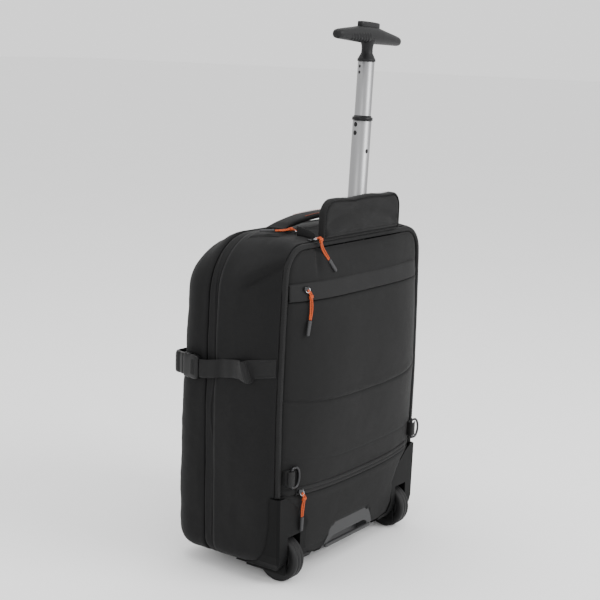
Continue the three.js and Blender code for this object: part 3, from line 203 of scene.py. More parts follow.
def cloth(name, colour, pitch=1.1, creases=0.5):
    """Woven cloth: a plain weave of that pitch in millimetres over soft unevenness."""
    n = Nodes(name)
    across, along = n.threads(pitch)
    weave = n.math("MULTIPLY", n.math("SINE", across), n.math("SINE", along))
    where = n.coords()
    large = n.noise(where, 9, 3)
    small = n.noise(where, 130, 4, 0.6)
    fibre = n.noise(where, 1400, 2)
    tone = n.math("ADD", n.ramp(large, -0.16, 0.16), n.ramp(small, 0.92, 1.08))
    tone = n.math("ADD", tone, n.math("MULTIPLY", weave, 0.05))
    tone = n.math("ADD", tone, n.ramp(fibre, -0.05, 0.05))
    soft = n.bump(n.noise(where, 22, 4, 0.6), 0.0016 * creases, 0.7)
    height = n.math("ADD", weave, n.math("MULTIPLY", fibre, 1.2))
    return n.finish(
        n.shade(colour, tone),
        n.math("ADD", n.ramp(small, 0.71, 0.85), n.math("MULTIPLY", weave, 0.03)),
        n.bump(height, 0.00005, 0.75, Normal=soft),
        Sheen_Weight=0.03,
        Sheen_Roughness=0.4,
        Specular_IOR_Level=0.16,
    )


def ribbed(name, colour, pitch=1.5, rough=0.7):
    """Webbing: close ribs across its width and a fine herringbone along it."""
    n = Nodes(name)
    across, along = n.threads(pitch, 0.7)
    twill = n.math("SINE", n.math("ADD", across, n.math("MULTIPLY", along, 0.5)))
    height = n.math("ADD", n.math("SINE", along), n.math("MULTIPLY", twill, 0.5))
    small = n.noise(n.coords(), 160, 4, 0.6)
    tone = n.math("ADD", n.ramp(small, 0.8, 1.2), n.math("MULTIPLY", height, 0.08))
    return n.finish(
        n.shade(colour, tone),
        n.ramp(small, rough - 0.08, rough + 0.08),
        n.bump(height, 0.00014, 0.8),
        Sheen_Weight=0.03,
        Specular_IOR_Level=0.22,
    )


def braided(name, colour, pitch=2.6):
    """Cord: two sets of strands that cross round it, their crests painted lighter as a painted
    highlight and their gaps darker as painted shade.
    """
    n = Nodes(name)
    across, along = n.threads(pitch)
    one, two = (n.math("SINE", n.math(way, along, across)) for way in ("ADD", "SUBTRACT"))
    height = n.math("MAXIMUM", one, two)
    small = n.noise(n.coords(), 700, 3)
    # tone differs at random, and also rises with the strands' height: a painted highlight on the
    # crests and painted shade in the gaps
    tone = n.math("ADD", n.ramp(small, 0.78, 1.12), n.math("MULTIPLY", height, 0.12))
    return n.finish(
        n.shade(colour, tone),
        0.62,
        n.bump(height, 0.0003, 0.9),
        Sheen_Weight=0.06,
        Specular_IOR_Level=0.3,
    )


def moulded(name, colour, rough=0.5, grain=0.00008, scale=1300, coat=0.0, gloss=0.2):
    """Moulded plastic or rubber: fine spark texture, faint scuffs and uneven gloss."""
    n = Nodes(name)
    where = n.coords()
    fine = n.noise(where, scale, 3, 0.6)
    patch = n.noise(where, 30, 5, 0.6)
    scuff = n.noise(n.stretch(where, (1, 1, 0.12)), 260, 5, 0.7)
    return n.finish(
        n.shade(colour, n.math("ADD", n.ramp(patch, 0.86, 1.14), n.ramp(scuff, -0.07, 0.07))),
        n.math("ADD", n.ramp(patch, rough - 0.06, rough + 0.06), n.ramp(scuff, -0.05, 0.05)),
        n.bump(fine, grain, 0.6),
        Coat_Weight=coat,
        Specular_IOR_Level=gloss,
    )


def metal(name, colour, rough=0.3, brush=(1, 1, 1)):
    """Satin metal with fine drawn lines and soft patches."""
    n = Nodes(name)
    where = n.coords()
    lines = n.noise(n.stretch(where, brush), 1800, 3, 0.6)
    patch = n.noise(where, 35, 4)
    return n.finish(
        n.shade(colour, n.ramp(lines, 0.9, 1.06)),
        n.math("ADD", n.ramp(lines, rough - 0.06, rough + 0.08), n.ramp(patch, -0.04, 0.04)),
        n.bump(lines, 0.00002, 0.5),
        Metallic=1.0,
    )


SIDE = cloth("side_cloth", (0.0055, 0.0055, 0.0057), creases=0.9)
FRONT = cloth("front_cloth", (0.0056, 0.0056, 0.0058), creases=0.9)
PANEL = cloth("panel_cloth", (0.0066, 0.0066, 0.0067), creases=0.35)
WELT = cloth("welt_cloth", (0.011, 0.011, 0.0112), creases=0.35)
PIPING = cloth("piping_cloth", (0.0095, 0.0095, 0.0097), pitch=0.9, creases=0.2)
HOOD = cloth("hood_cloth", (0.0082, 0.0082, 0.0083))
HANDLE = cloth("handle_cloth", (0.005, 0.005, 0.0052), creases=0.4)
PATCH = cloth("patch_cloth", (0.0062, 0.0062, 0.0064), pitch=1.4)
ZIP = ribbed("zip_coil", (0.003, 0.003, 0.0032), pitch=1.6, rough=0.5)
WEBBING = ribbed("webbing", (0.006, 0.006, 0.0062))
THREAD = ribbed("thread", (0.014, 0.014, 0.0145), pitch=0.8)
ORANGE_THREAD = braided("orange_thread", (0.36, 0.052, 0.006), pitch=1.2)
CORD = braided("cord", (0.42, 0.058, 0.005))
HOUSING = moulded("housing_plastic", (0.0027, 0.0028, 0.0029), rough=0.56, gloss=0.1)
GRAB = moulded("grab_plastic", (0.033, 0.0335, 0.0345))
HUB = moulded("hub_plastic", (0.009, 0.009, 0.0095), rough=0.42)
TRIM = moulded("trim_plastic", (0.005, 0.005, 0.0055), rough=0.4)
GRIP = moulded("grip_plastic", (0.0075, 0.0077, 0.0082), grain=0.00012)
BUTTON = moulded("button_plastic", (0.009, 0.009, 0.0098), rough=0.4)
BUCKLE = moulded("buckle_plastic", (0.004, 0.004, 0.0042), rough=0.4, coat=0.04)
TYRE = moulded("tyre_rubber", (0.0085, 0.0085, 0.0088), rough=0.6, grain=0.00016, scale=900)
FOOT = moulded("foot_rubber", (0.008, 0.008, 0.0085), rough=0.8, grain=0.0002, scale=700)
RUBBER = moulded("pull_rubber", (0.034, 0.034, 0.0355), rough=0.6, grain=0.0001)
TUBE = metal("tube_metal", (0.29, 0.29, 0.295), rough=0.4, brush=(1, 1, 0.02))
STEEL = metal("slider_metal", (0.34, 0.34, 0.35), rough=0.24)
DARK_STEEL = metal("slider_body_metal", (0.05, 0.05, 0.052))
AXLE = metal("axle_metal", (0.3, 0.3, 0.31), rough=0.35, brush=(0.02, 1, 1))
RING = metal("ring_metal", (0.045, 0.045, 0.047), rough=0.34)



# Mesh pieces


def piece(name, points, faces, material, uv, body="bag", slot=None, node=None):
    mesh = bpy.data.meshes.new(name)
    mesh.from_pydata(metres(points).reshape(-1, 3).tolist(), [], faces)
    mesh.materials.append(material)
    layer = mesh.uv_layers.new(name="UVMap")
    layer.data.foreach_set("uv", np.array(uv, dtype=np.float32).ravel())
    mesh.polygons.foreach_set("use_smooth", [True] * len(mesh.polygons))
    mesh.update()
    obj = link(bpy.data.objects.new(name, mesh))
    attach(obj, body)
    if node:
        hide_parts(node)
    return obj


def arc_lengths(points, closed=False):
    """Running length along the first axis of an array of points, in metres."""
    if closed:
        points = np.concatenate([points, points[:1]])
    step = np.linalg.norm(np.diff(points, axis=0), axis=-1)
    return np.concatenate([[0], np.cumsum(step)]) / 1000


def grid(
    name, points, material, round_u=False, round_v=False, caps=(), drop=None, thick=0, **facts
):
    """A piece over a grid of points, rows by columns, with its UV in metres. round_u and round_v
    join the last column or row to the first, caps names the rows that are closed over (0 and -1),
    and drop tells which faces to leave out."""
    p = np.array(points, dtype=float)
    rows, cols = p.shape[:2]
    u = arc_lengths(p[rows // 2], round_u)
    v = arc_lengths(p[:, cols // 2], round_v)
    faces, uv = [], []
    for i in range(rows if round_v else rows - 1):
        for j in range(cols if round_u else cols - 1):
            ii, jj = (i + 1) % rows, (j + 1) % cols
            if drop and drop((p[i, j] + p[ii, jj]) / 2):
                continue
            faces.append((i * cols + j, i * cols + jj, ii * cols + jj, ii * cols + j))
            uv += [(u[j], v[i]), (u[j + 1], v[i]), (u[j + 1], v[i + 1]), (u[j], v[i + 1])]
    for i in caps:
        ring = [i % rows * cols + j for j in range(cols)]
        faces.append(ring[::-1] if i == 0 else ring)
        middle = p[i].mean(axis=0)
        uv += [tuple((p[i, k] - middle)[[0, 2]] / 1000) for k in range(cols)]
    obj = piece(name, p, faces, material, uv, **facts)
    if thick:
        shell = obj.modifiers.new("thickness", "SOLIDIFY")
        shell.thickness = thick / 1000
        shell.offset = -1
    return obj


def fix_normals(obj):
    work = bmesh.new()
    work.from_mesh(obj.data)
    bmesh.ops.recalc_face_normals(work, faces=work.faces)
    work.to_mesh(obj.data)
    work.free()
    return obj


def solid(name, rings, material, loop=False, **facts):
    """A closed piece through rings of points: a loop, or else a body with two ends."""
    caps = () if loop else (0, -1)
    return fix_normals(
        grid(name, rings, material, round_u=True, round_v=loop, caps=caps, **facts)
    )


def frames(path):
    """Two directions across a path at each point, carried along it without twist."""
    along = unit(np.gradient(path, axis=0))
    start = np.cross(along[0], UPRIGHT)
    if np.linalg.norm(start) < 0.2:
        start = np.cross(along[0], (1.0, 0.0, 0.0))
    first = [unit(start)]
    for t in along[1:]:
        first.append(unit(first[-1] - t * np.dot(first[-1], t)))
    first = np.array(first)
    return first, np.cross(along, first)


def tube(name, path, radius, material, sides=12, loop=False, **facts):
    path = np.array(path, dtype=float)
    a, b = frames(path)
    turn = turns(sides)[None, :, None]
    ring = a[:, None] * np.cos(turn) + b[:, None] * np.sin(turn)
    return solid(name, path[:, None] + ring * radius, material, loop, **facts)


def curve(points, count):
    """A smooth line through the points, evenly sampled."""
    p = np.array(points, dtype=float)
    ends = np.concatenate([[2 * p[0] - p[1]], p, [2 * p[-1] - p[-2]]])
    fine = []
    for i in range(len(p) - 1):
        p0, p1, p2, p3 = ends[i : i + 4]
        square, cube = 2 * p0 - 5 * p1 + 4 * p2 - p3, 3 * p1 - p0 - 3 * p2 + p3
        for t in np.linspace(0, 1, 12, endpoint=False):
            fine.append(0.5 * (2 * p1 + (p2 - p0) * t + square * t**2 + cube * t**3))
    fine = np.array(fine + [p[-1]])
    run = arc_lengths(fine)
    at = np.linspace(0, run[-1], count)
    return np.stack([np.interp(at, run, fine[:, k]) for k in range(3)], axis=1)


def placed(matrix, points):
    return [list(matrix @ Vector(p)) for p in points]


def lathe(name, profile, material, matrix, sides=64, loop=True, **facts):
    """A turned piece: profile holds (radius, height), and matrix places its axis."""
    c, s = np.cos(turns(sides)), np.sin(turns(sides))
    rings = [
        placed(matrix, np.stack([radius * c, radius * s, np.full(sides, height)], axis=1))
        for radius, height in profile
    ]
    return solid(name, rings, material, loop, **facts)


def rounded(width, height, power, count):
    """A squarish oval as count points across two axes."""
    c, s = np.cos(turns(count)), np.sin(turns(count))
    return (
        width / 2 * np.sign(c) * np.abs(c) ** (2 / power),
        height / 2 * np.sign(s) * np.abs(s) ** (2 / power),
    )


def loft(name, sections, axes, material, power=4.5, count=36, **facts):
    """A body through rounded sections (at, width, thickness, shift over). The axes are its
    origin and the directions along, across and over it."""
    origin, along, across, over = axes
    rings = []
    for at, width, thick, *shift in sections:
        a, b = rounded(width, thick, power, count)
        rings.append(
            origin + along * at + a[:, None] * across + (b[:, None] + sum(shift)) * over
        )
    return solid(name, rings, material, **facts)


# Zip pulls: the outward direction at each, and its route, whose points are those of the CAD source
PULLS = {
    "hood": (
        (0, -1, 0.5),
        [
            (-102.5, -5.2, 466.2), (-102.3, -9.2, 467.4), (-101.2, -10.6, 463.4),
            (-98.9, -9.4, 458.6), (-95.8, -8.9, 453.4), (-92.1, -9.5, 448),
            (-88.3, -10.8, 442.6), (-84.4, -12.2, 437.2),
        ],
    ),
    "top": (
        (0, 0, 1),
        [
            (-90.2, 39.5, 470.3), (-91.6, 42.3, 471.8), (-95.2, 44.4, 472.2), (-99.4, 45, 472),
            (-103.6, 45.6, 471.8), (-107.8, 47.4, 471.5), (-111.4, 50.8, 471.3),
            (-114.6, 55.2, 471.1),
        ],
    ),
    "upper": (
        (0, -1, 0),
        [
            (-132.6, -15.6, 400.6), (-130.7, -17.1, 397.4), (-129.8, -17.6, 392.6),
            (-129.1, -17.4, 387.4), (-128.7, -17.6, 382), (-129.2, -18, 376.4),
            (-130.5, -18.4, 370.6), (-132.5, -18.8, 363.4),
        ],
    ),
    "lower": (
        (0, -1, 0),
        [
            (-129.5, -15, 124.3), (-127.8, -15.9, 121), (-126.8, -15.3, 117),
            (-125.9, -14, 112.8), (-125.3, -12.9, 108.4), (-124.9, -12.1, 103.2),
            (-124.7, -11.6, 97.4), (-124.5, -11.3, 91),
        ],
    ),
}
CORD_WIDTH = 2.1
CORD_APART = 1.35
KNOT = (9, 15)
PULL_SECTIONS = [
    (0, 5.2, 3.0), (0.4, 6.0, 3.5), (3, 6.2, 3.6), (3.3, 5.7, 3.1), (3.9, 5.7, 3.1),
    (4.2, 6.1, 3.5), (6.3, 6.0, 3.4), (6.6, 5.5, 3.0), (7.2, 5.5, 3.0), (7.5, 5.9, 3.4),
    (12, 5.6, 3.2), (17, 5.3, 3.0), (18.9, 5.0, 2.8), (19.7, 4.1, 2.2), (20, 2.6, 1.4),
]


def strand(p, out, offset):
    """One side of the cord, which bows out from the other between knot and rubber end."""
    last = len(p) - 1
    ahead = np.array([p[min(i + 1, last)] - p[max(i - 1, 0)] for i in range(len(p))])
    apart = 1 + 0.62 * np.sin(np.clip(np.linspace(-0.35, 1, len(p)), 0, 1) * math.pi)
    return curve(p + unit(np.cross(ahead, out)) * (offset * apart)[:, None], 48)


def pull(name, out, route):
    p = np.array(route, dtype=float)
    along = unit(p[-1] - p[-2])
    across = unit(np.cross(along, out))
    axes = (p[-1] + along * 0.9, along, across, np.cross(along, across))
    end = loft(
        f"pull_rubber_{name}", PULL_SECTIONS, axes, RUBBER, 3.2, 20, node=f"pull_end_{name}"
    )
    for key, side in (("a", 1), ("b", -1)):
        line = strand(p, out, side * CORD_APART)
        cord = tube(
            f"cord_{name}_{key}", line, CORD_WIDTH / 2, CORD, node=f"pull_cord_{name}_{key}"
        )
        metres(line[0])
        metres(line)
    ahead = unit(p[1] - p[0])
    side = unit(np.cross(ahead, out))
    loop = [
        p[0] + side * CORD_APART * math.cos(t) - ahead * (CORD_APART * 1.5 * math.sin(t) + 0.1)
        for t in np.linspace(0, math.pi, 15)
    ]
    tube(f"cord_loop_{name}", loop, CORD_WIDTH / 2 * 0.96, CORD)
    middle = curve(p, 60)
    wrap = []
    for t in np.linspace(0, 1, 60):
        k = int(mix(*KNOT, t))
        ahead = unit(middle[k + 1] - middle[k])
        side = unit(np.cross(ahead, out))
        at = mix(middle[KNOT[0]], middle[KNOT[1]], t)
        turn = t * 2 * math.pi * 2.1
        over = np.cross(side, ahead)
        wrap.append(at + side * math.cos(turn) * 2.9 + over * math.sin(turn) * 1.75)
    tube(f"cord_knot_{name}", wrap, 0.95, CORD, sides=10)


for pull_name, (pull_out, pull_route) in PULLS.items():
    pull(pull_name, pull_out, pull_route)

# Body of the bag


def hard_surface(node):
    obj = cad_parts[node]
    points = [obj.matrix_world @ v.co for v in obj.data.vertices]
    return BVHTree.FromPolygons(points, [p.vertices[:] for p in obj.data.polygons])


COVERS = [hard_surface(n) for n in ("wheel_housing_left", "wheel_housing_right", "grab_handle")]
TUCK = 1.3


def covered(start, ahead):
    """How far ahead of the start the first hard piece lies, in millimetres, or None."""
    origin = Vector(metres(start))
    hits = [tree.ray_cast(origin, Vector(ahead), 0.3)[3] for tree in COVERS]
    return min((h * 1000 for h in hits if h is not None), default=None)


def tuck_back(points):
    """Points of the back cloth, moved in behind the hard pieces that cover them."""
    for p in points.reshape(-1, 3):
        if p[2] < 130 and (abs(p[0]) > 78 or p[2] < 64):
            away = covered((p[0], -60, p[2]), (0, 1, 0))
            if away is not None:
                p[1] = max(p[1], away - 60 + TUCK)
    return points


# The front edge of the wheel housings, as (height, depth)
HOUSING_SEAM = [(18, 76), (21, 52), (31, 26), (43, 13), (59, 5.4), (82, 1.2), (127, 0.4)]


def tuck_side(points):
    """Points of the side cloth, moved in behind the housings and drawn in just before them."""
    for p in points.reshape(-1, 3):
        if p[2] < 127 and abs(p[0]) > 160:
            near = p[1] - float(table(HOUSING_SEAM, p[2]))
            dip = 3.6 * float(1 - smooth((near - 5) / 6)) * float(smooth((130 - p[2]) / 10))
            p[0] -= math.copysign(dip, p[0])
        if p[2] < 130 and p[1] < 90 and abs(p[0]) > 150:
            sign = math.copysign(1, p[0])
            away = covered((sign * 200, p[1], p[2]), (-sign, 0, 0))
            if away is not None and away < 34:
                p[0] = sign * min(abs(p[0]), 200 - away - TUCK)
    return points


# By share of the main part's depth: lift of the lower edge and crown of the top
MAIN_SECTIONS = [
    (0, 1, 0), (0.07, 0.45, 0.35), (0.18, 0.1, 0.75), (0.38, 0, 1), (0.6, 0, 0.9),
    (0.82, 0, 0.45), (1, 0, 0),
]
# By share of height: half width of the body, and how far the back panel stands out
WIDTHS = [(0, 0.988), (0.25, 1.004), (0.5, 1.016), (0.75, 1), (1, 0.972)]
BULGES = [
    (0.02, 0.03), (0.12, 0.24), (0.23, 0.42), (0.36, 0.66), (0.52, 0.95),
    (0.68, 1), (0.8, 0.82), (0.9, 0.44), (0.97, 0.2), (1, 0.12),
]


def table(rows, at, column=1):
    rows = np.array(rows)
    return np.interp(at, rows[:, 0], rows[:, column])


def eased(rows, at, column=1):
    """The table read along a smooth curve rather than straight lines."""
    low = table(rows, np.asarray(at) - 0.03, column)
    high = table(rows, np.asarray(at) + 0.03, column)
    return (low + high + 2 * table(rows, at, column)) / 4


def width_at(z):
    return HALF_WIDTH * eased(WIDTHS, (z - BOTTOM) / HEIGHT)


def rounded_box(middle, x, low, high, foot, top, spans, steps):
    """Points round a box of half width x, anticlockwise from its lower edge, as (x, z). Its
    corners have the radii foot and top, and the straights between them that many spans."""
    corners = [
        (middle + (x - foot), low + foot, foot, -0.5), (middle + (x - top), high - top, top, 0),
        (middle + (top - x), high - top, top, 0.5), (middle + (foot - x), low + foot, foot, 1),
    ]
    points = []
    for c, (cx, cz, radius, start) in enumerate(corners):
        for i in range(steps + 1):
            angle = (start + i / steps / 2) * math.pi
            points.append((cx + radius * math.cos(angle), cz + radius * math.sin(angle)))
        nx, nz, nr, ns = corners[(c + 1) % 4]
        a, b = points[-1], (nx + nr * math.cos(ns * math.pi), nz + nr * math.sin(ns * math.pi))
        count = spans[c % 2]
        points += [
            (mix(a[0], b[0], i / count), mix(a[1], b[1], i / count)) for i in range(1, count)
        ]
    return np.array(points)


def outline(y, inset=0.0):
    """Outline of the body at a depth, anticlockwise from its lower edge, as (x, z)."""
    depth = min(max(y / MAIN_DEPTH, 0), 1)
    lift, crown = (eased(MAIN_SECTIONS, depth, column) for column in (1, 2))
    top = max(TOP_CORNER + 36 * float(smooth((y - 18) / 95)) - inset, 1)
    foot = max(BOTTOM_CORNER - inset, 1)
    spans = (int(HEIGHT / 4), int(2 * HALF_WIDTH / 4))
    low = BOTTOM + lift * 10 + inset
    p = rounded_box(0, HALF_WIDTH - inset, low, TOP - inset, foot, top, spans, 12)
    share = (p[:, 1] - BOTTOM) / HEIGHT
    rise = crown * 6 * (1 - (p[:, 0] / HALF_WIDTH) ** 2) * np.clip(share, 0, 1) ** 4
    return np.stack([p[:, 0] * width_at(p[:, 1]) / HALF_WIDTH, p[:, 1] + rise], axis=1)


def swell(points, out=1.0):
    """Stuffed fullness, dents and folds of the cloth sides and top, applied to points on them."""
    p = points.copy()
    x, y, z = p[..., 0], p[..., 1], p[..., 2]
    on_side = smooth(1 + (np.abs(x) - width_at(z)) / 12)
    on_top = smooth((z - TOP + 14) / 12)
    full = (1 - hill(np.maximum(y - 2, 0), 19)) * out
    mid = np.sin(np.clip((z - BOTTOM) / HEIGHT, 0, 1) * math.pi) ** 0.5
    move = full * (3.2 + 2.4 * mid) * np.clip((MAIN_DEPTH + 8 - y) / 40, 0, 1)
    # the strap draws the side in, more in front of its stitched end
    strap = hill(z - STRAP_Z - 14 * np.clip(1 - y / 90, 0, 1), 17)
    move -= 2.6 * strap * smooth((y - 40) / 30)
    move -= 2.2 * hill(y - 72, 26) * hill(z - 292, 60)
    # the crease below the left shoulder, from the seam down and forward
    along = (y * 60 + (z - 442) * -38) / 71
    across = (y * 38 + (z - 442) * 60) / 71
    fold = hill(across + 3, 4.6) - 0.6 * hill(across - 6, 6)
    move -= 3.8 * fold * smooth((along + 12) / 18) * smooth((84 - along) / 26) * (x < 0)
    fold = hill(across + 26, 8)
    move -= 1.6 * fold * smooth((along + 4) / 20) * smooth((62 - along) / 20) * (x < 0)
    # slack at the foot of the sides
    move += 1.1 * hill(z - 96, 34) * np.sin(y / 15) * smooth(y / 30)
    move += 0.9 * rough_field(x, y, z, 75, 3.1) + 0.35 * rough_field(x, y, z, 22, 8.7)
    p[..., 0] += np.sign(x) * move * on_side * out
    ripple = 0.8 * rough_field(x, y, z * 0, 60, 5.5) + 0.3 * rough_field(x, y, z * 0, 18, 1.2)
    p[..., 2] += on_top * (1 - on_side * 0.5) * (full * 1.2 + ripple) * out
    return p


def in_opening(p):
    """Whether a place lies in the hole for the pole, a wheel's well or the grab handle."""
    lift = (p[2] - POLE[2]) * math.tan(LEAN)
    near_pole = (p[0] - POLE[0] - lift) ** 2 + (p[1] - POLE[1]) ** 2 < 15.4**2
    in_well = (
        abs(abs(p[0]) - WHEEL[0]) < 18.9 and p[1] < WHEEL[1] + 46.5 and p[2] < WHEEL[2] + 46.5
    )
    return p[2] > 300 and near_pole or in_well or abs(p[0]) < 59 and p[1] < 20 and p[2] < 60


def ring_at(y, inset=0.0):
    o = outline(y, inset)
    return np.stack([o[:, 0], np.full(len(o), y), o[:, 1]], axis=1)


def main_part():
    depths = [SEAM_Y + 0.2, 3.5, 6, 9, 12.5, 16, 20, *np.arange(24, 103, 4.2), 104.2]
    rings = tuck_side(swell(np.array([ring_at(y, 0.3) for y in depths])))
    grid(
        "side_gusset", rings, SIDE, round_u=True, thick=1.6, drop=in_opening, node="main_gusset"
    )
    # cloth between the main part and the zip, flush with the sides
    depths = np.linspace(104.6, FLAP_END, 6)
    rings = []
    for y in depths:
        t = (y - depths[0]) / (FLAP_END - depths[0])
        rings.append(ring_at(y, 0.3 + 2.2 * smooth((t - 0.72) / 0.28)))
    rings = swell(np.array(rings), 0.5)
    grid("zip_edge_cloth", rings, SIDE, round_u=True, thick=1.4, node="zip_flap")


main_part()

# The rear edge of the storm flap wavers, here by share of its height
FLAP_EDGE = [
    (0, 107), (0.04, 105.4), (0.1, 105.4), (0.2, 104.6), (0.31, 102.8), (0.36, 104.2),
    (0.41, 108), (0.46, 109.6), (0.51, 107), (0.56, 105.4), (0.66, 106), (0.78, 107),
    (0.9, 109), (0.97, 111.5), (1, 114),
]
FLAP_FRONT = 119.4


def storm_flap(sign, label):
    """The folded strip with a rolled rear edge that covers the zip along one side."""
    ring = ring_at(110, 0.3)
    side = ring[(ring[:, 0] * sign > 100) & (ring[:, 2] > 40)]
    side = side[np.argsort(side[:, 2])]
    rows = []
    for z in np.linspace(46, 441, 150):
        t = (z - 46) / 395
        rear, front = float(eased(FLAP_EDGE, t)), FLAP_FRONT
        x = np.interp(z, side[:, 2], side[:, 0] * sign)
        lift = 1.5 + 0.5 * math.sin(t * 31)
        profile = [
            (rear + 0.9, 0.5), (rear + 0.1, 1.1), (rear - 0.1, 1.9), (rear + 0.5, 2.9),
            (rear + 1.6, 3.2), (rear + 3, 2.5), (rear + 5, 2.1), (mix(rear, front, 0.6), 1.9),
            (front - 2.5, 1.7), (front - 0.8, 1.1), (front, -0.3), (front - 0.4, -1.4),
            (front - 4, 0.2), (rear + 4, 0.3),
        ]
        end = min(1, (z - 44) / 5, (442 - z) / 6)
        rows.append([(sign * (x + (out * 0.45 + lift * 0.35) * end), y, z) for y, out in profile])
    solid(f"storm_flap_{label}", swell(np.array(rows), 0.5), SIDE)


for sign, label in SIDES:
    storm_flap(sign, label)

# The zip between flap and front compartment, sunk, with its coil
zip_rings = [
    ring_at(y, inset)
    for y, inset in ((119.9, 3.4), (120.6, 3.0), (121.2, 2.3), (121.8, 3.0), (122.6, 3.4))
]
grid(
    "main_zip_coil", swell(np.array(zip_rings), 0.5), ZIP, round_u=True, thick=0.8,
    node="main_zip",
)


def front_depth(z):
    share = np.clip((z - BOTTOM) / HEIGHT, 0, 1)
    return 59.5 - 13 * share**1.5


def front_compartment():
    rings = [ring_at(FRONT_Y - 0.6, 2.6), ring_at(FRONT_Y + 0.3, 0.9)]
    for y in np.linspace(1.2, 26, 9):
        ring = ring_at(FRONT_Y + y, 0.3)
        straight = front_depth(ring[:, 2]) - FRONT_CORNER
        ring[:, 1] = FRONT_Y + 1.2 + (y - 1.2) / 24.8 * (straight - 1.2)
        rings.append(ring)
    for share in np.linspace(0.09, 1, 12):
        angle = share * math.pi / 2
        x, z = outline(FRONT_Y, FRONT_CORNER * (1 - math.cos(angle)) + 0.3).T
        y = FRONT_Y + front_depth(z) - FRONT_CORNER * (1 - math.sin(angle))
        rings.append(np.stack([x, y, z], axis=1))
    edge = rings[-1]
    for share in (0.97, 0.93, 0.86, 0.78, 0.7, 0.61, 0.52, 0.43, 0.34, 0.25, 0.16, 0.07):
        z = mix((TOP + BOTTOM) / 2, edge[:, 2], share)
        y = FRONT_Y + front_depth(z) + 1.5 * (1 - share**2)
        rings.append(np.stack([edge[:, 0] * share, y, z], axis=1))
    p = np.array(rings)
    x, y, z = p[..., 0], p[..., 1], p[..., 2]
    p[..., 2] -= 9 * smooth((y - FRONT_Y) / 24) * smooth((z - 390) / 60)
    amount = smooth((y - FRONT_Y - 1) / 8)
    sag = 1.3 * rough_field(x, y, z, 80, 2.2) + 0.45 * rough_field(x, y, z, 24, 6.4)
    strap = hill(z - STRAP_Z - 1, 16)
    on_side = smooth((np.abs(x) - 120) / 30)
    full = 0.9 * sag - 1.8 * strap + 1.2 * hill(z - 120, 60)
    p[..., 0] += np.sign(x) * amount * on_side * full
    on_face = smooth((y - FRONT_Y - 30) / 20)
    p[..., 1] += amount * on_face * (0.9 * sag - strap * smooth((np.abs(x) - 90) / 40))
    p[..., 2] += amount * smooth((z - TOP + 20) / 16) * sag * 0.8
    grid(
        "front_bowl", p, FRONT, round_u=True, caps=(-1,), thick=1.6, node="front_compartment"
    )


front_compartment()


def stitches(name, points, out, slot, length=2.6, gap=1.3, radius=0.33, material=THREAD):
    """Separate stitches along a line, each a short lozenge that lies on the cloth."""
    line = np.array(points, dtype=float)
    run = arc_lengths(line) * 1000
    up = np.array(out, dtype=float)
    verts, faces = [], []
    at = 0.5
    while at + length < run[-1]:
        ends = [
            np.array([np.interp(s, run, line[:, k]) for k in range(3)]) for s in (at, at + length)
        ]
        side = unit(np.cross(unit(ends[1] - ends[0]), up))
        base = len(verts)
        for s, size in ((0, 0.3), (0.25, 1), (0.75, 1), (1, 0.3)):
            m = mix(ends[0], ends[1], s)
            for angle in turns(6):
                spoke = side * math.cos(angle) + up * math.sin(angle)
                verts.append(m + spoke * radius * size)
        for r in range(3):
            for k in range(6):
                a, b = base + r * 6 + k, base + r * 6 + (k + 1) % 6
                faces.append((a, b, b + 6, a + 6))
        faces.append(tuple(base + k for k in range(5, -1, -1)))
        faces.append(tuple(base + 18 + k for k in range(6)))
        at += length + gap
    uv = [(0.0, 0.0)] * sum(len(f) for f in faces)
    return fix_normals(piece(name, verts, faces, material, uv, slot=slot))


# Back panel


def panel_half(z):
    """Half width of the panel at a height, with its rounded corners."""
    z = np.asarray(z, dtype=float)
    half = HALF_WIDTH - PIPING_INSET
    low = BOTTOM + 10.3
    r = TOP_CORNER - PIPING_INSET
    foot = BOTTOM_CORNER - 0.3
    cuts = ((r, z - (TOP - PIPING_INSET - r)), (foot, low + foot - z))
    for radius, past in cuts:
        cut = np.clip(past, 0, radius)
        half = half - (radius - np.sqrt(np.maximum(radius**2 - cut**2, 0)))
    return half * width_at(z) / HALF_WIDTH


def panel_y(x, z):
    half = (HALF_WIDTH - 7) * width_at(z) / HALF_WIDTH
    across = np.clip(np.abs(x) / half, 0, 1)
    return -2 - 29 * eased(BULGES, (z - BOTTOM) / HEIGHT) * (1 - across**4)


def waist(u):
    return 248 + 9 * np.abs(u) ** 2.6 + 7 * np.clip((u - 0.9) / 0.1, 0, 1) ** 1.5


def lower_zip(u):
    return BOTTOM + HEIGHT * (0.228 + 0.016 * u**2)


def upper_zip(u):
    return 388.0 + 0 * u


# Line, depth and half width of the groove of each seam across the panel
SEAMS = [
    (lower_zip, 2.4, 1.6),
    (lambda u: lower_zip(u) + 11, 0.6, 1.2),
    (lambda u: 176 - 14 * smooth((u + 1) / 0.75), 0.45, 1.3),
    (waist, 1.6, 1.6),
    (upper_zip, 2.4, 1.6),
    (lambda u: upper_zip(u) + 23, 0.4, 1.6),
]


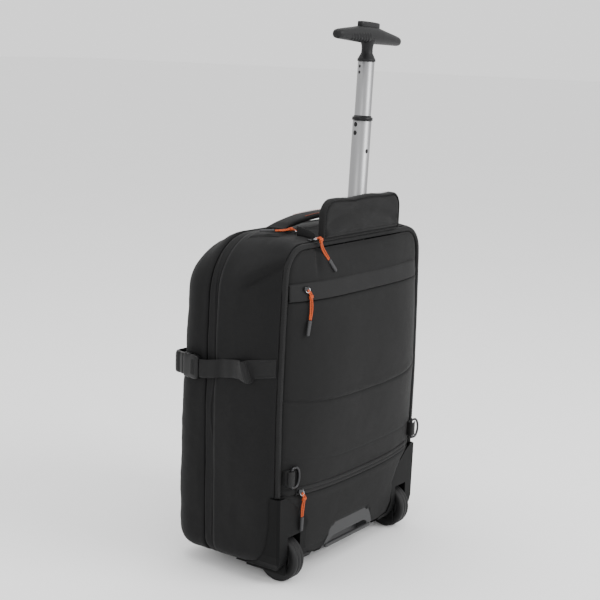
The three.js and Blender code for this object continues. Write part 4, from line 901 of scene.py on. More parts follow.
def panel_rows():
    """Heights of the rows at each column: even between the seams and close together at them."""
    u = np.linspace(-1, 1, 121)
    low, high = np.full_like(u, BOTTOM + 10.3), np.full_like(u, TOP - PIPING_INSET)
    lines = [low, *(s[0](u) for s in SEAMS), high]
    rows = []
    for k, (a, b) in enumerate(zip(lines, lines[1:])):
        length = float(np.mean(b - a))
        inner_low = 2.4 if k > 0 else 0
        inner_high = 2.4 if k < len(SEAMS) else 0
        if inner_low:
            rows += [a + d for d in (0, 0.8, 1.5)]
        count = max(int((length - inner_low - inner_high) / 4), 1)
        shares = np.linspace(0, 1, count + 1)
        if not inner_high:
            corner = 1 - np.cos(np.linspace(0, math.pi / 2, 9))
            top = np.sort(high[0] - a[0] - corner * 30)
            shares = np.unique(np.concatenate([shares, top[top > 0] / (high[0] - a[0])]))
        if not inner_low:
            foot = (1 - np.cos(np.linspace(0, math.pi / 2, 8))) * 25 / length
            shares = np.unique(np.concatenate([shares, foot]))
        rows += [mix(a + inner_low, b - inner_high, s) for s in shares]
        if inner_high:
            rows += [b - d for d in (1.5, 0.8)]
    return u, np.array(rows)


def apply_modifiers(obj):
    """The object with its modifiers made real, in place of the old one."""
    deps = bpy.context.evaluated_depsgraph_get()
    mesh = bpy.data.meshes.new_from_object(obj.evaluated_get(deps))
    new = link(bpy.data.objects.new(obj.name + "_done", mesh))
    for group in obj.vertex_groups:
        new.vertex_groups.new(name=group.name)
    bpy.data.objects.remove(obj)
    return new


def plain_pad(us, zs):
    """The foam pad as a closed box of fine voxels, before pressure swells it."""
    zz, uu = np.meshgrid(zs, us, indexing="ij")
    xx = uu * (panel_half(zz) - 2)
    near = np.stack([xx, panel_y(xx, zz) + 2.5, zz], axis=-1)
    far = near + (0, 9, 0)
    rows, cols = zz.shape
    count = rows * cols
    faces = []
    for i in range(rows - 1):
        for a in range(i * cols, i * cols + cols - 1):
            faces.append((a, a + 1, a + cols + 1, a + cols))
            faces.append(tuple(count + k for k in (a, a + cols, a + cols + 1, a + 1)))
    index = np.arange(count).reshape(rows, cols)
    rim = [*index[0], *index[1:, -1], *index[-1, -2::-1], *index[-2:0:-1, 0]]
    for a, b in zip(rim, rim[1:] + rim[:1]):
        faces.append(tuple(int(k) for k in (b, a, count + a, count + b)))
    mesh = bpy.data.meshes.new("pad_work")
    mesh.from_pydata(metres(np.concatenate([near, far]).reshape(-1, 3)).tolist(), [], faces)
    pad = link(bpy.data.objects.new("pad_work", mesh))
    bpy.context.view_layer.objects.active = pad
    remesh = pad.modifiers.new("remesh", "REMESH")
    remesh.mode = "VOXEL"
    remesh.voxel_size = 0.0055
    return apply_modifiers(pad)


CLOTH = {
    "quality": 5, "mass": 0.25, "tension_stiffness": 18, "compression_stiffness": 18,
    "bending_stiffness": 1.2, "use_pressure": True, "uniform_pressure_force": 4,
    "vertex_group_mass": "pin",
}


def pad_shape():
    """The foam pad swollen by a cloth simulation: how far it stands over the plain panel."""
    us = np.linspace(-1, 1, 45)
    zs = np.linspace(BOTTOM + 12, TOP - 9, 57)
    lift = np.zeros((len(zs), len(us)))
    pad = plain_pad(us, zs)
    start = np.array([v.co for v in pad.data.vertices])
    x, y, z = (start * 1000 + (0, SHIFT, 0)).T
    share = x / panel_half(z)
    # the sewn edge and the seams hold the pad, so they are pinned, and so is its far side
    pin = np.clip(1 - (panel_half(z) - np.abs(x)) / 9, 0, 1)
    for line in (lower_zip, waist, upper_zip):
        pin = np.maximum(pin, 0.96 * hill(z - line(share), 5.5))
    pin = np.maximum(pin, (y > panel_y(x, z) + 7).astype(float))
    group = pad.vertex_groups.new(name="pin")
    for i, w in enumerate(pin):
        if w > 0.02:
            group.add([i], float(w), "REPLACE")
    sim = pad.modifiers.new("cloth", "CLOTH")
    for key, value in CLOTH.items():
        setattr(sim.settings, key, value)
    sim.settings.effector_weights.gravity = 0
    sim.collision_settings.use_collision = False
    for f in range(1, 21):
        bpy.context.scene.frame_set(f)
    done = apply_modifiers(pad)
    end = np.array([v.co for v in done.data.vertices])
    bpy.context.scene.frame_set(1)
    bpy.data.objects.remove(done)
    if len(end) != len(start):
        return us, zs, lift
    cells = {}
    rows = np.round(np.interp(z, zs, np.arange(len(zs)))).astype(int)
    cols = np.round(np.interp(share, us, np.arange(len(us)))).astype(int)
    for i in np.nonzero(y < panel_y(x, z) + 5)[0]:
        cells.setdefault((rows[i], cols[i]), []).append((start[i, 1] - end[i, 1]) * 1000)
    for cell, values in cells.items():
        lift[cell] = float(np.clip(np.mean(values), -1.0, 4.0))
    for _ in range(2):
        wide = np.pad(lift, 1, mode="edge")
        beside = wide[:-2, 1:-1] + wide[2:, 1:-1] + wide[1:-1, :-2] + wide[1:-1, 2:]
        lift = (wide[1:-1, 1:-1] * 2 + beside) / 6
    return us, zs, lift


def back_panel():
    u, z = panel_rows()
    u = np.broadcast_to(u, z.shape)
    half = panel_half(z)
    x = u * half
    us, zs, lift = pad_shape()
    zi = np.interp(z, zs, np.arange(len(zs)))
    ui = np.interp(u, us, np.arange(len(us)))
    z0, u0 = zi.astype(int).clip(0, len(zs) - 2), ui.astype(int).clip(0, len(us) - 2)
    low, high = (mix(lift[k, u0], lift[k, u0 + 1], ui - u0) for k in (z0, z0 + 1))
    y = panel_y(x, z) - mix(low, high, zi - z0) * 0.7
    gap = half - np.abs(x)
    y += 2.6 * hill(np.minimum(gap, TOP - PIPING_INSET - z), 3.4)
    for line, depth, width in SEAMS:
        d = z - line(u)
        y += depth * hill(d, width) - 0.35 * depth * (hill(d - 5, 4) + hill(d + 5, 4))
    # a soft upright dent beside the hood's pull, and light drag lines
    dent = 3.4 * hill(x + 104 - (z - 435) * 0.08, 4.4)
    y += dent * smooth((z - 408) / 30) * smooth((462 - z) / 8)
    y -= 1.1 * hill(x + 90, 8) * smooth((z - 412) / 20)
    y -= 0.55 * rough_field(x, y * 0, z, 95, 4.4) + 0.16 * rough_field(x, y * 0, z, 30, 7.7)
    drag = 0.5 * rough_field(x / 3, y * 0, z, 16, 9.1)
    y += drag * hill(z - 258, 12) * smooth((gap - 4) / 20)
    points = tuck_back(np.stack([x, y, z], axis=-1))

    def drop(p):
        ax = abs(p[0])
        return abs(ax - WHEEL[0]) < 16 and p[2] < 70 or ax < 54 and p[2] < 42

    panel = grid("padded_panel", points, PANEL, thick=3, drop=drop, node="back_panel")
    fix_normals(panel)
    panel.modifiers["thickness"].offset = 1 if panel.data.polygons[100].normal.y > 0 else -1


back_panel()


def welt(name, node, left, low, profile, end_mark):
    """A zip's welt on the back panel, two lips over a coil, from left to x = 142."""
    height = profile[-1][0]
    rows = []
    for x in np.linspace(left, 142, 90):
        ring = []
        for dz, dy in profile:
            z = low(x) + dz
            wave = 0.5 * math.sin(x / 17 + dz / 9) + 0.25 * math.sin(x / 7.3)
            y = float(panel_y(x, z)) + dy + wave * (0.3 < dz / height < 0.95) * 0.6
            ring.append((x, y, z))
        rows.append(ring)
    fix_normals(grid(name, rows, WELT, thick=0.7, node=node))
    if end_mark:
        x = 143.2
        heights = [low(x) + dz for dz in np.linspace(3, height - 1, 12)]
        bar = [(x, float(panel_y(x, z)) - 1.2, z) for z in heights]
        tube(f"{name}_bartack", bar, 0.9, ZIP, sides=6)


welt(
    "upper_welt", "upper_zip_welt", -160.5, lambda x: 388.2,
    [
        (0.5, 1.2), (0, 0.2), (0, -1.2), (0.5, -2.2), (1.6, -2.7), (3.2, -2.8), (6, -2.6),
        (10, -2.2), (14, -2.0), (17.5, -2.1), (19.6, -2.3), (21, -2.1), (22.1, -1.3),
        (22.6, -0.4), (22.8, 0.6),
    ],
    True,
)
welt(
    "lower_welt", "lower_zip_welt", -139, lambda x: float(lower_zip(x / 170)) + 0.3,
    [
        (0.4, 1.2), (0, 0.2), (0.1, -1.2), (0.9, -2.1), (2.3, -2.4), (3.7, -2.1), (4.6, -1.2),
        (5.2, -0.8), (5.9, -1.3), (7.0, -2.2), (8.4, -2.4), (9.8, -1.9), (10.7, -0.8), (11, 0.5),
    ],
    False,
)

BINDING = [
    (-3.5, 1.6), (-3.5, -1.0), (-3.1, -2.5), (-2.4, -3.0), (-1.2, -3.35), (0, -3.45),
    (1.2, -3.35), (2.4, -3.0), (3.1, -2.4), (3.5, -1.0), (3.6, 0.6), (3.5, 1.9),
]
BINDING_FOOT = 125.6


def binding():
    """The bound seam between back panel and sides, which ends at the wheel housings."""
    o = outline(0, 3.5)
    start = np.argmin(np.abs(o[:, 1] - BINDING_FOOT) + (o[:, 0] < 0) * 1000)
    o = np.roll(o, -start, axis=0)
    line = o[o[:, 1] > BINDING_FOOT]
    foot = BINDING_FOOT + 0.2
    line = np.concatenate([[[line[0][0], foot]], line, [[line[-1][0], foot]]])
    step = unit(np.gradient(line, axis=0))
    points = list(zip(line, step[:, 1], -step[:, 0]))
    rows = []
    for (x, z), a, b in points:
        bump = 0.12 * math.sin((x + z) / 5.0)
        rows.append([(x + a * u, y - bump, z + b * u) for u, y in BINDING])
    solid("edge_binding", rows, PIPING, node="back_piping")
    for side, u in (("inner", -2.5), ("outer", 2.5)):
        path = [(x + a * u, -3.15, z + b * u) for (x, z), a, b in points]
        stitches(f"binding_stitch_{side}", path, (0, -1, 0), "piping", radius=0.22)


binding()

# Hood over the trolley: inset and depth of its rings, from its open side to its face
HOOD_X = 3
HOOD_RINGS = [
    (2.0, 1.4), (0.9, 1.6), (0.1, 1.0), (0, -1), (0, -3), (0.1, -5), (0.3, -6.6), (1.0, -7.7),
    (1.9, -8.1), (2.7, -7.3), (3.2, -6.0), (3.9, -5.9), (4.6, -7.3), (5.8, -8.4), (8, -8.9),
]


def hood_ring(inset, y):
    low, high = TOP + 0.6 + inset, TOP + 54.6 - inset
    p = rounded_box(HOOD_X, 95 - inset, low, high, 2, max(22 - inset, 1), (6, 34), 10)
    return np.stack([p[:, 0], np.full(len(p), float(y)), p[:, 1]], axis=1)


def hood():
    rows = [hood_ring(inset, y) for inset, y in HOOD_RINGS]
    middle = np.array([HOOD_X, -8.3, TOP + 24])
    edge = rows[-1]
    for share in (0.93, 0.85, 0.76, 0.67, 0.57, 0.47, 0.37, 0.27, 0.17, 0.08):
        ring = middle + (edge - middle) * share
        ring[:, 1] = -8.3 - 2.6 * (1 - share**2)
        rows.append(ring)
    p = np.array(rows)
    x, y, z = p[..., 0], p[..., 1], p[..., 2]
    face = smooth((-y - 7.4) / 0.8)
    inside = smooth((-y - 8.2) / 0.7)
    along = (x + 88) / 176
    arch = 479 + 17 * np.sin(np.clip(along * 1.05, 0, 1) * math.pi) ** 0.9
    fold = 2.2 * hill(z - arch, 5) - 2.4 * smooth((arch - z) / 14) * smooth((z - 463) / 8)
    p[..., 1] += inside * (fold - 0.8 * rough_field(x, y * 0, z, 34, 2.9))
    rim = smooth((z - 500) / 12) * (1 - face)
    p[..., 2] += rim * (0.9 * np.sin(x / 13) + 0.6 * rough_field(x, y, z * 0, 22, 5.1))
    obj = grid("hood_cover", p, HOOD, round_u=True, caps=(-1,), thick=1.4, node="hood")
    fix_normals(obj)
    rims = (("face", 2.75, -7.95, (0, -1, 0)), ("rim", 0.15, 0.9, UPRIGHT))
    for name, inset, y, out in rims:
        ring = hood_ring(inset, y)
        ring = ring[ring[:, 2] > TOP + 2]
        start = int(np.argmax(np.linalg.norm(np.diff(ring, axis=0), axis=1))) + 1
        path = np.roll(ring, -start, axis=0)
        stitches(f"hood_stitch_{name}", path, out, "hood_cloth", radius=0.24)


hood()


def top_z(x, y):
    """Height of the bag's top at a place."""
    o = outline(y)
    upper = o[o[:, 1] > TOP - 1.6 * TOP_CORNER]
    upper = upper[np.argsort(upper[:, 0])]
    return float(np.interp(x, upper[:, 0], upper[:, 1]))


TAB_PROFILE = [
    (0, 0), (0.25, 0.35), (0.5, 0.7), (0.7, 0.95), (0.55, 1.03), (0.2, 1), (-0.2, 0.92),
    (-0.8, 0.65), (-1.3, 0.3), (-1.6, 0),
]


def hood_tab():
    rows = []
    for t in np.linspace(0, 1, 16):
        y = mix(30, 6.5, t)
        x = mix(-97, -92.6, t) + 0.8 * math.sin(t * 3)
        z = top_z(x, y) + 1.1
        rise, lean = mix(13.5, 7.4, t), mix(-1.8, 0.2, t)
        rows.append([(x - 1 + a * 1.4 + lean * b, y, z + rise * b) for a, b in TAB_PROFILE])
    solid("hood_ear", rows, HOOD, node="hood_tab")


hood_tab()

# Straps


def ribbon(name, centre, across, out, node, cup=lambda t, s: 0):
    """A strap along a line, with its own width and outward directions at each point."""
    rows = []
    for k, (c, a, o) in enumerate(zip(centre, across, out)):
        ring = []
        for face, steps in ((1, range(9)), (-1, range(8, -1, -1))):
            for i in steps:
                s = i / 4 - 1
                edge = STRAP_THICK * 0.5 * (1 - 0.5 * abs(s) ** 8)
                away = cup(k / (len(centre) - 1), s) + STRAP_THICK / 2 + face * edge
                ring.append(c + a * (s * STRAP_WIDTH / 2) + o * away)
        rows.append(ring)
    solid(name, rows, WEBBING, node=node)


def strap_line(path, count):
    """A smooth line through the path and its outward direction at each point."""
    line = curve(path, count)
    d = np.gradient(line, axis=0)
    d[:, 2] = 0
    d = unit(d)
    return line, np.stack([d[:, 1], -d[:, 0], np.zeros(len(d))], axis=1)


# Depth along the side and height over it of the strap's line; the loose fold hangs over
STRAP = [
    (4, 0), (12, 0), (20, 0), (27, 0), (32, 0.2), (37, 0.6), (41.5, 2.4), (43.4, 5.6),
    (42.6, 8.6), (44, 10.7), (48, 10.9), (53.5, 8.8), (60, 6.0), (68, 3.6), (78, 1.8),
    (88, 1.2), (97, 1.5), (105, 3.2), (112, 5.2), (118, 6.8),
]
BUCKLE_TURN = math.radians(13)
BUCKLE_OUT = np.array([math.cos(BUCKLE_TURN), math.sin(BUCKLE_TURN), 0])
BUCKLE_AHEAD = np.array([-math.sin(BUCKLE_TURN), math.cos(BUCKLE_TURN), 0])
CORNER_AT = (
    168.9 * 1.0137 - FRONT_CORNER,
    FRONT_Y + float(front_depth(STRAP_Z)) - FRONT_CORNER,
    STRAP_Z,
)
BUCKLE_AT = np.array(CORNER_AT) + BUCKLE_OUT * (FRONT_CORNER + 4.5 + 1.8)
SOCKET = [
    (-25, 27, 5.5), (-24.4, 29.5, 7.4), (-22, 31.5, 8.6), (-18, 33.2, 9), (-13, 33.8, 9),
    (-11.5, 33.2, 8.9), (-8, 31.4, 8.6, 0.1), (-4, 31.4, 8.6, 0.1), (-1, 32.8, 8.9),
    (2.5, 33.9, 9), (4.2, 33.4, 8.6), (4.9, 31.6, 7.2),
]
PLUG = [
    (5.2, 27.6, 6.0), (5.8, 29.2, 6.9), (8, 29.8, 7.2), (12, 29.8, 7.1), (13.5, 29.4, 5.6, -0.3),
    (16, 29.4, 5.2, -0.4), (17.5, 29.6, 6.6), (21, 29.6, 6.9), (23.6, 28.8, 6.2),
    (24.8, 26.6, 4.6),
]
RELEASE_TAB = [
    (-9.5, 2.2, 4.6, 0.2), (-9, 3.4, 5.8, 0.2), (-5.5, 4.0, 6.2, 0.2), (-2, 3.4, 5.8, 0.2),
    (-1.4, 2.2, 4.6, 0.2),
]


def strap_z(y):
    return STRAP_Z + 18 * max(1 - (y - SEAM_Y) / 129.7 * 1.15, 0)


def on_side(sign, y, z):
    return abs(swell(np.array([[sign * float(width_at(z)), y, z]]))[0, 0])


def compression(sign, label):
    path = []
    for y, out in STRAP:
        z = strap_z(y)
        x = on_side(sign, y, z) if y < 104 else float(width_at(z)) + 1
        path.append((x + 0.9 + out, y, z))
    path.append(tuple(BUCKLE_AT - BUCKLE_AHEAD * 25.6 - BUCKLE_OUT * 0.9))
    line, out = strap_line(path, 130)
    # the fold leans, so its lower edge hangs out past the rest
    lean = hill(line[:, 1] - 44, 7) * smooth((line[:, 0] - line[0, 0] - 2) / 4)
    across = np.stack([-0.1 * lean, 0.34 * lean, np.ones(len(line))], axis=1)
    across *= (1 + 0.14 * lean)[:, None]
    line[:, 2] -= 2.6 * lean
    flip = np.array([sign, 1, 1])

    def cup(t, s):
        return 0.5 * math.exp(-(((t - 0.7) / 0.2) ** 2)) * math.sin(t * 40) + 0.5 * (1 - s * s)

    ribbon(
        f"webbing_{label}", line * flip, across, out * flip, f"compression_strap_{label}", cup
    )
    # the stitched end: a box of stitches with a cross
    box = [(6, -10.5), (33, -10.5), (33, 10.5), (6, 10.5), (6, -10.5)]
    lines = [*zip(box, box[1:]), (box[0], box[2]), (box[3], box[1])]
    for k, (a, b) in enumerate(lines):
        path = []
        for t in np.linspace(0, 1, 12):
            y = mix(a[0], b[0], t)
            z = strap_z(y) + mix(a[1], b[1], t)
            path.append((sign * (on_side(sign, y, z) + 0.9 + 1.85), y, z))
        name = f"webbing_box_{label}_{k}"
        stitches(name, path, (sign, 0, 0), "webbing", 2.2, 1.0, 0.3)


def buckle(sign, label):
    flip = np.array([sign, 1, 1])
    origin, ahead, out = BUCKLE_AT * flip, BUCKLE_AHEAD * flip, BUCKLE_OUT * flip
    up = np.array(UPRIGHT)
    axes = (origin, ahead, up, out)
    loft(f"buckle_body_{label}", SOCKET, axes, BUCKLE, node=f"buckle_socket_{label}")
    loft(f"buckle_clip_{label}", PLUG, axes, BUCKLE, node=f"buckle_plug_{label}")
    # release tabs in the side windows and a raised grip
    for k, s in enumerate((-15.2, 15.2)):
        place = (origin + up * s, ahead, up, out)
        loft(f"buckle_tab_{label}_{k}", RELEASE_TAB, place, BUCKLE, 3, 16)
    for k, at in enumerate((-19, -16, -13)):
        rib = [(at - 0.7, 20, 0.5, 4.5), (at, 22, 1.1, 4.6), (at + 0.7, 20, 0.5, 4.5)]
        loft(f"buckle_rib_{label}_{k}", rib, axes, BUCKLE, 3, 16)


def front_tab(sign, label):
    start = BUCKLE_AT + BUCKLE_AHEAD * 25.3 - BUCKLE_OUT * 0.9
    x = start[0]
    face = FRONT_Y + float(front_depth(STRAP_Z)) + 2.6
    path = [
        tuple(start), (x - 7, mix(start[1], face, 0.75) + 1.5, STRAP_Z),
        (x - 17, face + 2.0, STRAP_Z), (x - 30, face + 0.6, STRAP_Z), (x - 42, face, STRAP_Z),
    ]
    line, out = strap_line(path, 50)
    flip = np.array([sign, 1, 1])
    across = np.tile(UPRIGHT, (len(line), 1))
    ribbon(f"front_webbing_{label}", line * flip, across, out * flip, f"front_tab_{label}")
    box = [(x - 25, -10), (x - 40, -10), (x - 40, 10), (x - 25, 10), (x - 25, -10)]
    for k, (a, b) in enumerate(zip(box, box[1:])):
        path = [
            (sign * mix(a[0], b[0], t), face + 2.2, STRAP_Z + mix(a[1], b[1], t))
            for t in np.linspace(0, 1, 8)
        ]
        stitches(f"front_box_{label}_{k}", path, (0, 1, 0), "webbing", 2.2, 1.0, 0.3)


for sign, label in SIDES:
    compression(sign, label)
    buckle(sign, label)
    front_tab(sign, label)

# Carry handle and its patches

HANDLE_Y = 64
UNIT_SQUARE = [(0, 0), (1, 0), (1, 1), (0, 1), (0, 0)]


def patch_place(t, s):
    return mix(77, 124, t), mix(44, 94, s) + (t - 0.5) * -4


def patch_wave(t, s):
    return 0.3 * math.sin(s * 5 + t * 3)


def patch(sign, label):
    rows = []
    for t in np.arange(22) / 21:
        row = []
        for s in np.arange(25) / 24:
            x, y = patch_place(t, s)
            edge = min(t, 1 - t, s, 1 - s)
            z = top_z(x, y) + 2.4 + 1.2 * min(1, edge * 26) ** 0.5 + patch_wave(t, s)
            row.append((sign * x, y, z))
        rows.append(row)
    name = f"anchor_patch_{label}"
    fix_normals(grid(name, rows, PATCH, thick=1.6, node=f"handle_patch_{label}"))
    # a thin dark tube round the patch's foot: a painted shadow line that stands in for the shade
    # at the patch's edge
    rim = []
    for t, s in UNIT_SQUARE:
        x, y = patch_place(t, s)
        if rim:
            x0, y0 = rim[-1]
            rim += [(mix(x0, x, f), mix(y0, y, f)) for f in np.linspace(0.08, 0.92, 12)]
        rim.append((x, y))
    path = [(sign * x, y, top_z(x, y) + 2.5) for x, y in rim]
    tube(f"patch_tape_{label}", path, 0.7, ZIP, sides=6, slot="patch_cloth")
    for k, inset in enumerate((0.09, 0.15)):
        corners = [[abs(inset - c) for c in corner] for corner in UNIT_SQUARE]
        path = []
        for a, b in zip(corners, corners[1:]):
            for f in np.linspace(0, 1, 14, endpoint=False):
                t, s = mix(a[0], b[0], f), mix(a[1], b[1], f)
                x, y = patch_place(t, s)
                path.append((sign * x, y, top_z(x, y) + 3.75 + patch_wave(t, s)))
        name = f"patch_stitch_{label}_{k}"
        stitches(name, path, UPRIGHT, "patch_cloth", radius=0.28)


for sign, label in SIDES:
    patch(sign, label)


def carry_handle():
    rows, edges = [], {-1: [], 1: []}
    for i in range(110):
        s = i / 109 * 2 - 1
        x = s * 104
        base = top_z(x, HANDLE_Y) + 7.7 + 10 * max(1 - abs(s) ** 2.2, 0)
        flat = float(smooth((abs(s) - 0.8) / 0.2))
        width, thick = mix(27, 30, flat), mix(8.6, 4.2, flat)
        squeeze = 0.35 * math.sin(x / 9.5) * (1 - flat)
        section = zip(*rounded(width, thick, 3.0, 36))
        rows.append([(x, HANDLE_Y + u, base + v + squeeze * (u / width)) for u, v in section])
        for side, line in edges.items():
            line.append((x, HANDLE_Y + side * (width / 2 - 3.2), base + thick * 0.47))
    obj = solid("handle_pad", rows, HANDLE, node="carry_handle")
    for name, side in (("rear", -1), ("front", 1)):
        stitches(
            f"handle_stitch_{name}", edges[side][29:-29], UPRIGHT, "handle_cloth",
            3.0, 1.8, 0.42, ORANGE_THREAD,
        )


carry_handle()

# D-ring loops and rings

RING_X = 153
RING_Y = -12.63
RING_Z = 152


def ring_loop(sign, label):
    rows = []
    for z in np.linspace(RING_Z - 10.2, RING_Z + 10.2, 16):
        outer = 3.75 - 0.3 * (abs(z - RING_Z) / 10.2) ** 4
        soft = 0.25 * math.sin(z / 2.2)

        def arc(radius, angles):
            return [
                (RING_X + radius * math.cos(a), RING_Y + radius * math.sin(a)) for a in angles
            ]

        ring = [
            (161.6, float(panel_y(161.6, z)) - 0.5),
            (RING_X - 3.8, float(panel_y(149.4, z)) - 0.5),
            *arc(outer, np.linspace(math.pi, 1.5 * math.pi, 9)),
            (157.5, RING_Y - outer + 0.6 + soft), (161.7, RING_Y - 1.4),
            (161.4, RING_Y + 0.6), (157, RING_Y - 2.2),
            *arc(2.35, np.linspace(1.5 * math.pi, math.pi, 7)),
            (RING_X - 2.2, RING_Y + 2.5), (158, RING_Y + 3.4),
        ]
        rows.append([(sign * x, y, z) for x, y in ring])
    solid(f"ring_webbing_{label}", rows, WEBBING, node=f"dring_loop_{label}")


for sign, label in SIDES:
    ring_loop(sign, label)


def d_ring(sign, label, turn):
    half, reach = 13.75, 15.5
    line = [(0, 3 - half), (0, -6), (0, 0), (0, 6), (0, half - 3), (0.9, half - 0.9), (3, half)]
    line += [
        (reach * 0.45 + reach * 0.55 * math.cos(a), half * math.sin(a))
        for a in np.linspace(math.pi / 2 - 0.12, -math.pi / 2 + 0.12, 15)
    ]
    line += [(3, -half), (0.9, 0.9 - half), line[0]]
    c, s = math.cos(turn), math.sin(turn)
    path = curve([(RING_X + u * c, RING_Y + u * s, RING_Z + v) for u, v in line], 120)[:-1]
    path[:, 0] *= sign
    tube(
        f"snap_ring_{label}", path, 1.72, RING, sides=14, loop=True,
        body=f"ring_{label}", node=f"dring_{label}",
    )


# The left ring lies against the panel, and the right one stands nearly straight out
against_panel = math.atan2(float(panel_y(134.0, 152.0)) - 0.6 - 1.75 - RING_Y, -19)
d_ring(-1, "left", against_panel)
d_ring(1, "right", math.radians(-8))

# Trolley: heights z are along the upright, and the pole leans

LEANING = Matrix.Translation(POLE) @ Matrix.Rotation(LEAN, 4, "Y")
COLLAR = [
    (11.75, 614.3), (14, 614.3), (14.3, 614.7), (14.3, 618.1), (13.9, 618.6), (12.4, 619.2),
    (12.1, 620.8), (11.75, 620.9),
]
BEZEL_COLLAR = [
    (13.5, 461), (19, 463.5), (19.4, 465.6), (17.8, 467.6), (15.2, 468.4), (14.5, 470.4),
    (13.6, 470.6),
]


def on_pole(z):
    return (z - POLE[2]) / math.cos(LEAN)


def tube_skin(stage, outer, low, high):
    """A stage of the pole: a tube with a wall of 1.2 mm and edges rounded by 0.3 mm."""
    inner, low, high, edge = outer - 1.2, on_pole(low), on_pole(high), 0.3
    profile = [
        (inner, low), (outer - edge, low), (outer, low + edge), (outer, high - edge),
        (outer - edge, high), (inner + edge, high), (inner, high - edge),
    ]
    lathe(
        f"{stage}_tube_skin", profile, TUBE, LEANING, body=f"{stage}_stage", node=f"{stage}_tube"
    )


def pole_ring(name, profile, **facts):
    lathe(name, [(r, on_pole(z)) for r, z in profile], TRIM, LEANING, **facts)


tube_skin("lower", 13, 240, 614)
tube_skin("upper", 11.4, 428, 693.7)
pole_ring("collar_ring", COLLAR, body="lower_stage", node="tube_collar")
pole_ring("bezel_collar", BEZEL_COLLAR)


def tube_dot(name, body, radius, angle, z, size, proud, tall=1.0):
    """A rivet, lock pin or hole mouth on a tube: angle is measured round the pole from +X."""
    rings = []
    steps = [(0.05, proud), (0.55, proud * 0.95), (0.85, proud * 0.7), (1.0, 0.0), (1.02, -0.5)]
    for share, height in steps:
        ring = []
        for t in turns(24):
            up = size * share * tall * math.sin(t)
            a = angle + size * share * math.cos(t) / radius
            r = radius + height
            ring.append((r * math.cos(a), r * math.sin(a), on_pole(z) + up))
        rings.append(placed(LEANING, ring))
    solid(name, rings, TRIM, body=body)


facing = math.radians(-125)
tube_dot("lock_dot_1", "upper_stage", 11.4, facing - 1.25, 687, 2.1, 0.25)
tube_dot("lock_dot_2", "upper_stage", 11.4, facing - 1.25, 679, 2.1, 0.25)
tube_dot("rivet_1", "lower_stage", 13, facing - 1.15, 608.5, 3.3, 0.05)
tube_dot("rivet_2", "lower_stage", 13, facing - 1.15, 597, 3.3, 0.05)
tube_dot("lock_slot", "lower_stage", 13, facing + 0.36, 573, 2.4, 0.03, 1.35)

# Share of half length, and there the share of height, share of depth and drop
GRIP_HALF = [
    (0, 1, 1, 0), (0.15, 1, 1, 0), (0.3, 0.95, 0.98, 0.015), (0.5, 0.82, 0.9, 0.06),
    (0.75, 0.68, 0.79, 0.11), (0.9, 0.59, 0.7, 0.145), (0.96, 0.52, 0.6, 0.16),
    (0.985, 0.42, 0.48, 0.16), (1.0, 0.26, 0.3, 0.16),
]
BAR = on_pole(720) + 23 / 2 - 2
NECK = [
    (11.9, 0), (12.5, 0.4), (12.5, 3.0), (12, 3.6), (8.6, 10.2), (8, 11.4), (7.8, 16), (8.1, 21),
    (9.2, 24.5), (11.5, 28), (11.8, 31), (0.5, 33), (0.4, 1),
]


def grip():
    values = np.array([(-a, *rest) for a, *rest in GRIP_HALF[:0:-1]] + GRIP_HALF)
    at = values[:, 0]
    rows = []
    for a in np.unique(np.concatenate([at, np.linspace(-0.96, 0.96, 120)])):
        tall, deep, low = (float(np.interp(a, at, values[:, k])) for k in (1, 2, 3))
        u = a * 78.5
        ring = []
        for across, up in zip(*rounded(24 * deep, 23 * tall, 2.25, 48)):
            # a row of slanting ribs for the fingers low on the rear of one half
            on = smooth((u + 54) / 3) * smooth((-8 - u) / 3) * smooth((1.5 - up) / 2)
            on = float(on * smooth((-across - 1) / 3))
            scale = 1 + 0.8 * on * math.sin((u + up * 0.8) / 6.1 * 2 * math.pi) / 12
            ring.append((u, across * scale, BAR - low * 23 + up * scale))
        rows.append(placed(LEANING, ring))
    solid("grip_bar", rows, GRIP, body="upper_stage", node="grip")
    neck = [(r, on_pole(694) + h) for r, h in NECK]
    lathe("grip_neck", neck, GRIP, LEANING, sides=48, body="upper_stage")


grip()


def button():
    rows = []
    sections = ((-4, 0.6), (-3.6, 0), (3, 0), (5.2, 0.1), (5.8, 0.5), (6.05, 1.2), (6.15, 2.4))
    for height, inset in sections:
        level = BAR + 11.5 + height
        section = zip(*rounded(46 - 2 * inset, 11 - 2 * inset, 5, 72))
        rows.append(placed(LEANING, [(u, v, level - 0.5 * (u / 23) ** 2) for u, v in section]))
    solid("release_button", rows, BUTTON, body="button", node="grip_button")


button()

# Wheels and feet

TYRE_PROFILE = [
    (20.3, -8.8), (22, -9.6), (26, -10.6), (29, -10.9), (30.6, -10.3), (31.6, -9), (32, -7.2),
    (32, -4.2), (31.6, -3.9), (31.6, -3.3), (32, -3.0), (32, 3.0), (31.6, 3.3), (31.6, 3.9),
    (32, 4.2), (32, 7.2), (31.6, 9), (30.6, 10.3), (29, 10.9), (26, 10.6), (22, 9.6),
    (20.3, 8.8),
]
RIM_PROFILE = [
    (16.8, -8.2), (19.4, -8.8), (20, -8.2), (20, 8.2), (19.4, 8.8), (16.8, 8.2), (16.2, 6.5),
    (16.2, -6.5),
]
BOSS_PROFILE = [
    (4.4, -11), (6.6, -11), (7.6, -10), (8, -7), (8.4, -4), (8.4, 4), (8, 7), (7.6, 10),
    (6.6, 11), (4.4, 11),
]
PIN_PROFILE = [(0.2, -17), (3.4, -17), (4, -16.4), (4, 16.4), (3.4, 17), (0.2, 17)]
FOOT_PROFILE = [
    (0.3, 0), (10.6, 0), (11.7, 0.6), (12.3, 2), (12.6, 5), (12.1, 5.4), (12.1, 6.6), (12.7, 7),
    (12.9, 12), (13, 17.7), (0.3, 17.7),
]
